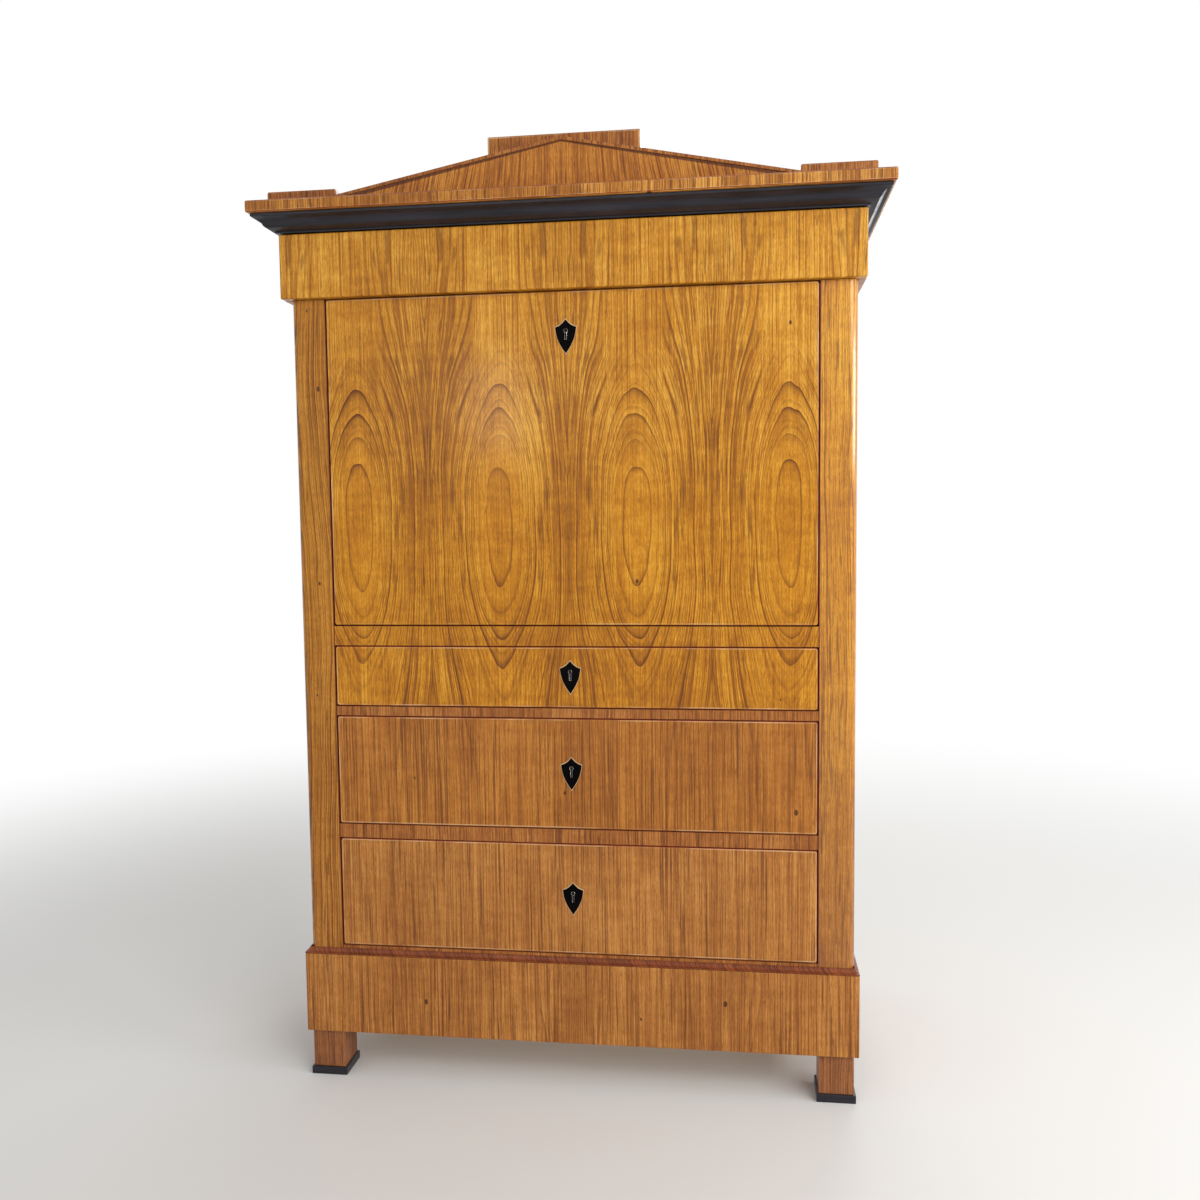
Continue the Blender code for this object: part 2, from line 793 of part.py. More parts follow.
def make_pediment():
    """Gable board with its raking strip, side blocks and the block behind the gable."""
    base = slab_high + SEAT_GAP
    end = side_block_inner - SEAT_GAP
    end_rise = GABLE_RISE * (gable_run - end) / gable_run
    under = RAKING_HEIGHT
    strip = [
        (-end, end_rise),
        (-end, end_rise - under),
        (0.0, GABLE_RISE - under),
        (end, end_rise - under),
        (end, end_rise),
        (0.0, GABLE_RISE),
    ]
    slope_length = math.hypot(gable_run, GABLE_RISE)
    below = RAKING_HEIGHT + SEAT_GAP * slope_length / gable_run
    gable = [
        (-end, 0.0),
        (end, 0.0),
        (end, end_rise - below),
        (0.0, GABLE_RISE - below),
        (-end, end_rise - below),
    ]
    sheet(
        "tympanum",
        gable,
        GABLE_PROUD,
        "front",
        (0, -GABLE_PROUD / 2, base),
        veneer,
        "secretaire",
    )
    strip_depth = GABLE_PROUD + RAKING_PROUD
    sheet(
        "raking_moulding",
        strip,
        strip_depth,
        "front",
        (0, -strip_depth / 2, base),
        veneer,
        "secretaire",
    )
    centre = box(
        "centre_block",
        (-CENTRE_BLOCK_HALF, SEAT_GAP, base),
        (CENTRE_BLOCK_HALF, CENTRE_BLOCK_DEPTH, slab_high + CENTRE_BLOCK_HEIGHT),
        veneer,
        "secretaire",
    )
    soften(centre, SOFT_EDGE * 2, 1)
    for side, end in ((-1, "left"), (1, "right")):
        low = (side_block_inner, -SIDE_BLOCK_PROUD, base)
        high = (
            side_block_outer,
            SIDE_BLOCK_DEPTH - SIDE_BLOCK_PROUD,
            slab_high + SIDE_BLOCK_HEIGHT,
        )
        block = box(
            "side_block_" + end, *both_sides(low, high, side), veneer, "secretaire"
        )
        soften(block, SOFT_EDGE * 2, 1)


def cove(piece):
    """Hollow a piece round the fall's pivot, where the fall's lower corner swings."""
    cylinder = rod(
        piece.name + "_cove",
        cove_radius,
        3 * CASE_HALF_WIDTH,
        (0, pivot_y, pivot_z),
        pine,
        "secretaire",
        sides=48,
        cutter=True,
    )
    combine(piece, cylinder, "DIFFERENCE")


def make_fall(frieze_deck):
    """The fall, the two irons it swings on, and the rail and deck round them."""
    rail_half = opening_half - SEAT_GAP
    rail = box(
        "fall_rail",
        (-rail_half, 0.0, top_drawer_high),
        (rail_half, FALL_RAIL_DEPTH, fall_low),
        veneer,
        "secretaire",
    )
    cove(rail)
    deck_low = fall_low + SEAT_GAP
    deck = board(
        "writing_deck",
        deck_low,
        deck_high - deck_low,
        pivot_y,
        veneer,
        guided=False,
    )
    cove(deck)
    slot_in = iron_inner - IRON_PLAY
    slot_out = arm_outer + IRON_PLAY
    iron_low = arm_top + IRON_ARM_WIDTH
    slot_back = pivot_y + math.hypot(IRON_REACH, iron_low) + IRON_PLAY
    neck_front = FALL_THICKNESS / 2 - IRON_EDGE
    for side, end in ((-1, "left"), (1, "right")):
        low = (slot_in, pivot_y - POST_DEPTH, fall_low - SEAT_GAP)
        high = (slot_out, slot_back, deck_high + IRON_PLAY)
        cut_box(deck, "slot_" + end, *both_sides(low, high, side), "secretaire")
        low = (slot_in, pivot_y + neck_front - IRON_PLAY, pivot_z - iron_low - IRON_PLAY)
        high = (slot_out, 2 * FALL_RAIL_DEPTH, fall_low + IRON_PLAY)
        cut_box(rail, "notch_" + end, *both_sides(low, high, side), "secretaire")

    add_group("fall_pivot", (0.0, pivot_y, pivot_z))
    add_group("fall_bolt_slide", (0.0, pivot_y, fall_high - FALL_SHIELD_DROP))
    edge = fall_high - FRONT_SEAM
    fall = box(
        "fall_panel",
        (-front_half, 0.0, fall_low + FRONT_SEAM / 2),
        (front_half, FALL_THICKNESS, edge),
        veneer,
        "fall_pivot",
        rounding=SOFT_EDGE,
    )
    half_leg = FALL_THICKNESS / 2 - IRON_EDGE
    outline = [
        (-half_leg, IRON_LEG),
        (-half_leg, -half_leg),
        (neck_front, -half_leg),
        (neck_front, -iron_low),
        (IRON_REACH, -iron_low),
        (IRON_REACH, -arm_top),
        (arm_top + IRON_ARM_WIDTH / 2, -arm_top),
        (half_leg, neck_front / 2),
        (half_leg, IRON_LEG),
    ]
    for side, end in ((-1, "left"), (1, "right")):
        middle_x = side * (iron_inner + front_half) / 2
        leg = sheet(
            "fall_iron_" + end,
            outline,
            IRON_THICKNESS,
            "side",
            (middle_x, pivot_y, pivot_z),
            iron,
            "fall_pivot",
        )
        low = (iron_inner, pivot_y + arm_top + 2 * SEAT_GAP, pivot_z - iron_low)
        high = (arm_outer, pivot_y + IRON_REACH, pivot_z - arm_top)
        join_box(leg, "arm", *both_sides(low, high, side), "fall_pivot")
        pin_in = iron_inner + IRON_THICKNESS / 2
        pin_out = front_half + PIVOT_LENGTH
        pin = rod(
            f"fall_iron_{end}_pin",
            PIVOT_RADIUS,
            pin_out - pin_in,
            (side * (pin_in + pin_out) / 2, pivot_y, pivot_z),
            iron,
            "fall_pivot",
            cutter=True,
        )
        combine(leg, pin, "UNION")
        recess_in = iron_inner - SEAT_GAP
        recess_out = opening_half + IRON_THICKNESS
        low = (recess_in, pivot_y - half_leg - SEAT_GAP, pivot_z - half_leg - SEAT_GAP)
        high = (
            recess_out,
            pivot_y + half_leg + SEAT_GAP,
            pivot_z + IRON_LEG + SEAT_GAP,
        )
        corners = both_sides(low, high, side)
        cut_box(fall, "iron_recess_" + end, *corners, "fall_pivot")
        low = (recess_in, pivot_y, fall_low - IRON_THICKNESS)
        high = (recess_out, 2 * FALL_THICKNESS, pivot_z + half_leg + SEAT_GAP)
        corners = both_sides(low, high, side)
        cut_box(fall, "neck_recess_" + end, *corners, "fall_pivot")
    fit_lock(
        "fall",
        fall,
        FALL_THICKNESS,
        fall_high - FALL_SHIELD_DROP,
        edge,
        frieze_deck,
        "fall_pivot",
        "fall_bolt_slide",
    )
    return rail


def make_frieze_drawer():
    """The full-width frieze, which is the front of a shallow drawer."""
    add_group("frieze_drawer", (0.0, 0.0, fall_high))
    half = CASE_HALF_WIDTH + FRIEZE_PROUD
    front = box(
        "frieze_drawer_front",
        (-half, -FRIEZE_PROUD, fall_high + SEAT_GAP),
        (half, FRIEZE_LET_IN, frieze_high - FRONT_SEAM),
        veneer,
        "frieze_drawer",
    )
    soften(front, SOFT_EDGE * 2, 1)
    low = fall_high + FRIEZE_DECK
    drawer_box("frieze_drawer", low, frieze_high - DRAWER_HEADROOM, "frieze_drawer")


def make_insert():
    """The fitted insert: compartments, a niche, and two small drawers each side."""
    front = INSERT_SETBACK
    low = deck_high + SEAT_GAP
    high = fall_high - SEAT_GAP
    case = box(
        "insert_case",
        (-board_half, front, low),
        (board_half, board_back, high),
        veneer,
        "secretaire",
    )
    side_in = INSERT_NICHE_HALF + INSERT_WALL
    side_out = board_half - INSERT_WALL
    inside_back = board_back - INSERT_BACK
    top_low = high - INSERT_WALL - INSERT_TOP_ROW
    floors = []
    floor = low + INSERT_WALL
    for k in range(2):
        floors.append(floor)
        floor += INSERT_DRAWER_HEIGHT + INSERT_WALL
    lanes = {
        "niche": (-INSERT_NICHE_HALF, INSERT_NICHE_HALF),
        "left": (-side_out, -side_in),
        "right": (side_in, side_out),
    }
    for lane, (x_low, x_high) in lanes.items():
        rows = [(top_low, high - INSERT_WALL)]
        if lane == "niche":
            rows.append((low + INSERT_WALL, top_low - INSERT_WALL))
        else:
            rows.append((floor, top_low - INSERT_WALL))
            rows += [(z, z + INSERT_DRAWER_HEIGHT) for z in floors]
        for k, (z_low, z_high) in enumerate(rows):
            cut_box(
                case,
                f"{lane}_{k}",
                (x_low, front - INSERT_WALL, z_low),
                (x_high, inside_back, z_high),
                "secretaire",
            )
    for side, end in ((-1, "left"), (1, "right")):
        for z_low, row in zip(floors, ("lower", "upper")):
            small_drawer(
                f"insert_drawer_{row}_{end}", side, side_in, side_out, z_low
            )


def small_drawer(name, side, x_in, x_out, z_low):
    """A small drawer with a turned knob glued into its front."""
    slide = name + "_slide"
    add_group(slide, (side * (x_in + x_out) / 2, INSERT_SETBACK, z_low))
    z_high = z_low + INSERT_DRAWER_HEIGHT - SMALL_PLAY
    back = board_back - INSERT_BACK - SMALL_PLAY
    low = (x_in + SMALL_PLAY, INSERT_SETBACK, z_low + SEAT_GAP)
    high = (x_out - SMALL_PLAY, back, z_high)
    drawer = box(name, *both_sides(low, high, side), veneer, slide)
    wall = INSERT_DRAWER_WALL
    low = (low[0] + wall, INSERT_SETBACK + wall, z_low + SEAT_GAP + wall)
    high = (high[0] - wall, back - wall, z_high + wall)
    cut_box(drawer, "inside", *both_sides(low, high, side), slide)
    knob = turned_knob(name, slide, (side * (x_in + x_out) / 2, (z_low + z_high) / 2))
    combine(drawer, knob, "UNION")


def turned_knob(name, group, centre):
    """A mushroom knob, its profile turned by a Screw modifier."""
    profile = [(0.0, KNOB_LENGTH)]
    for k in range(1, 7):
        angle = math.radians(22) * k
        out = KNOB_RADIUS * math.sin(angle)
        up = KNOB_LENGTH - KNOB_CROWN * (1 - math.cos(angle))
        profile.append((out, up))
    profile += [
        (KNOB_STEM_RADIUS, KNOB_STEM_LENGTH),
        (KNOB_STEM_RADIUS, -KNOB_GLUED),
        (0.0, -KNOB_GLUED),
    ]
    mesh = bpy.data.meshes.new(name + "_knob")
    points = [(x, 0.0, z) for x, z in profile]
    edges = [(k, k + 1) for k in range(len(points) - 1)]
    mesh.from_pydata(points, edges, [])
    mesh.materials.append(ebony)
    knob = bpy.data.objects.new(name + "_knob", mesh)
    screw = knob.modifiers.new("turned", "SCREW")
    screw.steps = 16
    screw.render_steps = 16
    screw.use_merge_vertices = True
    screw.merge_threshold = 0.00001
    knob.rotation_euler = (math.pi / 2, 0.0, 0.0)
    x, z = centre
    place(knob, group, (x, INSERT_SETBACK, z), cutter=True)
    return knob


for old in list(bpy.data.objects):
    bpy.data.objects.remove(old)
bpy.context.scene.collection.children.link(parts)
bpy.context.scene.collection.children.link(tools)

veneer = finish("cherry_veneer", (0.50, 0.24, 0.08), 0.35)
pine = finish("pine", (0.60, 0.42, 0.22), 0.6)
ebony = finish("ebonised_wood", (0.02, 0.02, 0.022), 0.4)
iron = finish("wrought_iron", (0.16, 0.15, 0.14), 0.5, 0.9)

add_group("secretaire", (0.0, front_plane_y, 0.0))
make_carcase()
lower_divider, upper_divider, frieze_deck = make_boards()
make_base()
make_cornice()
make_pediment()
fall_rail = make_fall(frieze_deck)
make_frieze_drawer()
long_drawer(
    "bottom_drawer", bottom_drawer_low, bottom_drawer_high, lower_divider
)
long_drawer(
    "middle_drawer", middle_drawer_low, middle_drawer_high, upper_divider
)
long_drawer("top_drawer", top_drawer_low, top_drawer_high, fall_rail)
make_insert()
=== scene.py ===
import math

import bmesh
import bpy
import numpy as np
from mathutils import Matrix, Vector


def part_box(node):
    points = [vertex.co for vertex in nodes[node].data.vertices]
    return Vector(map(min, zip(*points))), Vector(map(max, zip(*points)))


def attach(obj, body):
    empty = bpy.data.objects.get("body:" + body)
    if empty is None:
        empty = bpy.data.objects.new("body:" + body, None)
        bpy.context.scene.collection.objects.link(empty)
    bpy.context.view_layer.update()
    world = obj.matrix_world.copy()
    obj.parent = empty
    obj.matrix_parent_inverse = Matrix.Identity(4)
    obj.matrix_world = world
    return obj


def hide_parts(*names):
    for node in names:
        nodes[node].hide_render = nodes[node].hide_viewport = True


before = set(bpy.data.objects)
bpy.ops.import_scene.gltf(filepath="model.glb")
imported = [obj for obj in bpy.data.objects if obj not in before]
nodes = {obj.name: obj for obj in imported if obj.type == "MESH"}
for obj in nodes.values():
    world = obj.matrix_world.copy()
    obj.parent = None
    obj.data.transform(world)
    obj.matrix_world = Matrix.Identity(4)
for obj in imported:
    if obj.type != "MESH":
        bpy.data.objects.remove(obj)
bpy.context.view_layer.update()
print("frame loaded with", len(nodes), "nodes")

camera = {
    "place": (0.27867, -1.95849, 0.97131),  # metres
    "turn": (85.85372, 0.64271, 7.31732),  # degrees
    "lens": 32.0035,
    "sensor": 36.0,
}


def addCamera():
    data = bpy.data.cameras.new("camera")
    data.sensor_width = camera["sensor"]
    data.lens = camera["lens"]
    eye = bpy.data.objects.new("camera", data)
    eye.location = camera["place"]
    eye.rotation_euler = [math.radians(angle) for angle in camera["turn"]]
    bpy.context.scene.collection.objects.link(eye)
    bpy.context.scene.camera = eye


addCamera()
print("camera placed")

# Landmarks of the case, read from the frame
postLow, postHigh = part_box("post_right")
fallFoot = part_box("fall_panel")[0].z
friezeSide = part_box("frieze_drawer_front")[1].x
frontY = postLow.y  # the plane of the posts, the fall and the drawers
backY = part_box("cornice_slab")[1].y
caseHalf = postHigh.x


# Colours are written as they look on a screen, 0 to 255
def tint(red, green, blue):
    def straight(value):
        value = value / 255
        return value / 12.92 if value <= 0.04045 else ((value + 0.055) / 1.055) ** 2.4

    return (straight(red), straight(green), straight(blue), 1.0)


# a method that adds one Math node; turned puts the other value first
def arithmetic(operation, turned=False):
    def method(self, *others):
        values = (*others, self) if turned else (self, *others)
        return self.wires.calc(operation, *values)

    return method


# What a shader node gives. Plain arithmetic with it adds Math nodes to the tree
class Field:
    def __init__(self, wires, socket):
        self.wires = wires
        self.socket = socket

    __add__ = arithmetic("ADD")
    __radd__ = arithmetic("ADD", turned=True)
    __sub__ = arithmetic("SUBTRACT")
    __rsub__ = arithmetic("SUBTRACT", turned=True)
    __mul__ = arithmetic("MULTIPLY")
    __truediv__ = arithmetic("DIVIDE")
    __rtruediv__ = arithmetic("DIVIDE", turned=True)
    __pow__ = arithmetic("POWER")
    __abs__ = arithmetic("ABSOLUTE")
    __gt__ = arithmetic("GREATER_THAN")
    __lt__ = arithmetic("LESS_THAN")


# A material's node tree, with one short method for each kind of node
class Wiring:
    def __init__(self, name):
        self.material = bpy.data.materials.new(name)
        self.material.use_nodes = True
        self.tree = self.material.node_tree
        self.tree.nodes.clear()
        self.shader = self.add("BsdfPrincipled")
        output = self.add("OutputMaterial")
        self.tree.links.new(self.shader.outputs["BSDF"], output.inputs["Surface"])
        coordinates = self.add("TexCoord")
        self.place = Field(self, coordinates.outputs["Object"])
        self.turn = Field(self, coordinates.outputs["Normal"])

    def add(self, kind, **settings):
        node = self.tree.nodes.new("ShaderNode" + kind)
        for key, value in settings.items():
            setattr(node, key, value)
        return node

    def feed(self, socket, value):
        if isinstance(value, Field):
            self.tree.links.new(value.socket, socket)
        else:
            socket.default_value = value

    # feeds a node's inputs, named or in their order, and gives one of its outputs
    def run(self, node, *values, output=0, **named):
        for socket, value in zip(node.inputs, values):
            self.feed(socket, value)
        for name, value in named.items():
            self.feed(node.inputs[name], value)
        return Field(self, node.outputs[output])

    def calc(self, operation, *values):
        return self.run(self.add("Math", operation=operation), *values)

    def most(self, first, second):
        return self.calc("MAXIMUM", first, second)

    def fract(self, value):
        return self.calc("FRACT", value)

    def split(self, vector):
        node = self.add("SeparateXYZ")
        self.run(node, vector)
        return [Field(self, socket) for socket in node.outputs]

    def join(self, x, y, z):
        return self.run(self.add("CombineXYZ"), x, y, z)

    # smooth noise about 0, from -0.5 to 0.5
    def noise(self, place, detail=2.0, roughness=0.5, scale=1.0):
        node = self.add("TexNoise")
        level = self.run(node, Vector=place, Scale=scale, Detail=detail, Roughness=roughness)
        return level - 0.5

    def noiseAlong(self, value):
        node = self.add("TexNoise", noise_dimensions="1D")
        return self.run(node, W=value, Scale=1.0, Detail=1.0) - 0.5

    # one random number from 0 to 1 for each whole number
    def lot(self, value):
        node = self.add("TexWhiteNoise", noise_dimensions="1D")
        return self.run(node, W=self.calc("FLOOR", value), output="Value")

    # the distance to the nearest of scattered points, and that point's random colour
    def spots(self, place, scale, dimensions="2D"):
        node = self.add("TexVoronoi", voronoi_dimensions=dimensions)
        distance = self.run(node, Vector=place, Scale=scale, output="Distance")
        return distance, Field(self, node.outputs["Color"])

    def ease(self, value, low, high, start=0.0, end=1.0):
        node = self.add("MapRange", interpolation_type="SMOOTHSTEP")
        return self.run(node, value, low, high, start, end)

    def curve(self, value, points):
        node = self.add("FloatCurve")
        line = node.mapping.curves[0]
        while len(line.points) < len(points):
            line.points.new(0.5, 0.5)
        for point, spot in zip(line.points, points):
            point.location = spot
            point.handle_type = "AUTO"
        node.mapping.update()
        return self.run(node, Value=value)

    def ramp(self, value, stops):
        node = self.add("ValToRGB")
        elements = node.color_ramp.elements
        while len(elements) < len(stops):
            elements.new(0.5)
        for element, (position, colour) in zip(elements, stops):
            element.position = position
            element.color = colour
        return self.run(node, value)

    # of a Mix node's sockets, 6 and 7 are its colours and 2 and 3 its numbers
    def blend(self, factor, first, second):
        node = self.add("Mix", data_type="RGBA")
        self.feed(node.inputs[6], first)
        self.feed(node.inputs[7], second)
        return self.run(node, factor, output=2)

    def between(self, factor, first, second):
        node = self.add("Mix", data_type="FLOAT")
        self.feed(node.inputs[2], first)
        self.feed(node.inputs[3], second)
        return self.run(node, factor)

    def bump(self, height, distance):
        relief = self.run(self.add("Bump"), Strength=1.0, Distance=distance, Height=height)
        self.feed(self.shader.inputs["Normal"], relief)

    def surface(self, colour, roughness, **fixed):
        self.feed(self.shader.inputs["Base Color"], colour)
        self.feed(self.shader.inputs["Roughness"], roughness)
        for key, value in fixed.items():
            self.shader.inputs[key].default_value = value
        return self.material


ebonyLook = ((22, 21, 25), (62, 59, 67))  # plain and worn
shieldLook = ((3, 2, 2), (15, 12, 11))

polish = {
    "IOR": 1.4, "Specular IOR Level": 0.3,
    "Coat Weight": 0.16, "Coat Roughness": 0.14, "Coat IOR": 1.4,
}

# small marks in the wood, and the colours of painted shade and of a painted highlight
marks = {
    "pore": (84, 40, 12),
    "knot": (56, 24, 10),
    "joint": (80, 40, 16),
    "seam": (70, 34, 14),
    # the next four: a painted highlight with rubbed polish on the edges, painted shade in the seams
    # and at the posts' inner edges, and a painted shadow under the gable's moulding
    "rubbedAndHighlit": (240, 206, 158),
    "seamShade": (124, 14, 12),
    "creaseShade": (92, 18, 10),
    "shadow": (62, 18, 10),
    "pineKnot": (96, 56, 28),
    "agedBoard": (128, 86, 50),
    "groove": (60, 36, 20),
    "pin": (158, 110, 64),
    "pinLine": (70, 42, 22),
}
stains = {name: tint(*colour) for name, colour in marks.items()}

# Cherry veneer. Growth rings are level lines of R, where R^p = reach^p + rise^p: reach is
# the distance from the middle of a leaf and rise changes with height, so a dip closes an
# oval. A larger p gives the oval a rounder end
figureMix = {  # how much each part of the figure darkens the wood
    "base": 0.45, "leafTone": 1.0, "core": 0.0,
    "bands": 0.5, "hairs": 0.7, "streaks": 0.3, "mottle": 0.65, "ripple": 0.45,
    "fibre": 0.95, "flecks": 0.7, "pores": 0.3, "late": 0.08, "bold": 0.9,
    "boldPower": 10.0,  # a larger one makes the ring's dark line narrower
    "thin": 0.8, "dashes": 0.6, "knots": 0.85,
    "pieceWidth": 0.0,  # metres; a face with one is made up of short pieces
    # the next but one paints light from the right: the face grows paler towards the right
    "pieceTone": 0.0, "paintedRightLight": 0.0, "rimPale": 0.0, "rimDark": 0.0,
    # rimPale paints a highlight with rubbed polish along the rounded edges; rimDark paints shade on
    # the edges in the seams
    "rimAround": False,  # True where the edges of a level board face all ways
    "softBelow": 0.0,  # a height below which the rim is faint
    "lowLines": 1.0,  # strength of the dark lines in the lower drawers
    "lowStripes": 1.0,  # strength of the soft stripes there
}

heightSpan = 1.7  # reach of the curves of rise and p
powerSpan = 4.0

flitch = {
    "seed": 1.7,
    "leafWidth": 0.2375,  # leaves are book matched, so the figure mirrors at each joint
    "ovalCentre": 0.113,
    "riseSpan": 0.12,
    "rise": (  # height above the floor and rise, both in metres
        (0.0, 0.073), (0.08, 0.0755), (0.20, 0.079), (0.33, 0.0795), (0.45, 0.0785),
        (0.51, 0.077), (0.60, 0.0735), (0.67, 0.068), (0.755, 0.055), (0.80, 0.044),
        (0.84, 0.034), (0.88, 0.026), (0.92, 0.021), (0.97, 0.019), (1.02, 0.021),
        (1.06, 0.027), (1.10, 0.0355), (1.14, 0.045), (1.18, 0.0545), (1.22, 0.063),
        (1.28, 0.073), (1.38, 0.0785), (1.49, 0.081), (1.60, 0.082),
    ),
    "power": (  # height and p
        (0.0, 2.0), (0.7, 1.8), (0.84, 1.9), (1.0, 2.4), (1.13, 2.0), (1.3, 1.75), (1.6, 1.75),
    ),
    "straighten": 0.6,
    "tone": (  # place across the leaf and darkness, both from 0 to 1
        (0.0, 0.56), (0.07, 0.52), (0.2, 0.39), (0.36, 0.46), (0.5, 0.48), (0.78, 0.5), (1.0, 0.57),
    ),
    "core": -0.1,
    "ringStep": 0.0098,
    "drift": 0.038,
    "bands": 0.6, "late": 0.17, "bold": 1.0, "boldPower": 5.5,
    "lowLines": 0.6, "lowStripes": 0.4,
    "mottle": 0.85, "ripple": 0.6, "streaks": 0.4,
    "palettes": (  # light, middle, dark and line, from the plinth up; paler upwards, partly the wood's own colour and partly painted light that is stronger higher up
        ((204, 142, 72), (181, 116, 51), (146, 87, 36), (98, 50, 20)),
        ((198, 132, 55), (174, 107, 38), (140, 81, 27), (96, 48, 16)),
        ((226, 162, 48), (196, 127, 22), (150, 88, 14), (96, 44, 8)),
        ((228, 170, 66), (200, 134, 34), (156, 94, 20), (102, 50, 10)),
    ),
    "changes": ((0.42, 0.45), (0.645, 0.67), (0.95, 1.25)),  # heights where they change over
    "paintedRightLight": 0.06, "rimPale": 0.34, "rimDark": 0.95,
}

straightCut = {"leafWidth": 0.0, "ringStep": 0.0105, "drift": 0.020, "changes": ()}

postCut = straightCut | {
    "seed": 4.1,
    "palettes": (
        ((204, 140, 64), (176, 110, 38), (136, 79, 23), (84, 41, 12)),
        ((214, 152, 60), (186, 121, 33), (142, 84, 20), (88, 42, 10)),
    ),
    "changes": ((0.2, 0.9),),
    "bands": 0.45, "drift": 0.03,
}
sideCut = {
    "seed": 8.3,
    "leafWidth": 0.30,
    "ovalCentre": 0.15,
    "riseSpan": 0.30,
    "rise": ((0.0, 0.03), (0.45, 0.05), (0.9, 0.085), (1.3, 0.14), (1.6, 0.2)),
    "power": ((0.0, 2.0), (1.6, 2.4)),
    "straighten": 1.0,
    "tone": ((0.0, 0.5), (1.0, 0.5)),
    "ringStep": 0.0096,
    "drift": 0.042,
    "bold": 0.62, "late": 0.24, "bands": 0.8,
    "palettes": (
        ((202, 140, 70), (174, 110, 44), (136, 80, 28), (84, 42, 14)),
        ((212, 152, 72), (184, 120, 46), (144, 86, 28), (90, 46, 14)),
    ),
    "changes": ((0.2, 1.2),),
}


# a curve of (place, value) points, with the spans that bring both between 0 and 1
def curveOf(wires, value, points, placeSpan, valueSpan):
    line = [(place / placeSpan, height / valueSpan) for place, height in points]
    return wires.curve(value / placeSpan, line) * valueSpan


# distance from the pith for a leaf with ovals, how near a spot is to the leaf's middle, and
# how far it lies in a wide arch, where the wood is cut flat and shows few fine lines
def ovalRadius(wires, reach, along, cut):
    rise = curveOf(wires, along, cut["rise"], heightSpan, cut["riseSpan"])
    power = curveOf(wires, along, cut["power"], heightSpan, powerSpan)
    reach = abs(reach)
    rise = rise * wires.ease(reach, 0.045, 0.115, 1.0, cut["straighten"])
    total = reach**power + rise**power
    flat = wires.ease(reach, 0.055, 0.004)
    arch = wires.ease(reach, 0.085, 0.02) * wires.ease(rise, 0.045, 0.076)
    return total ** (1.0 / power), flat, arch


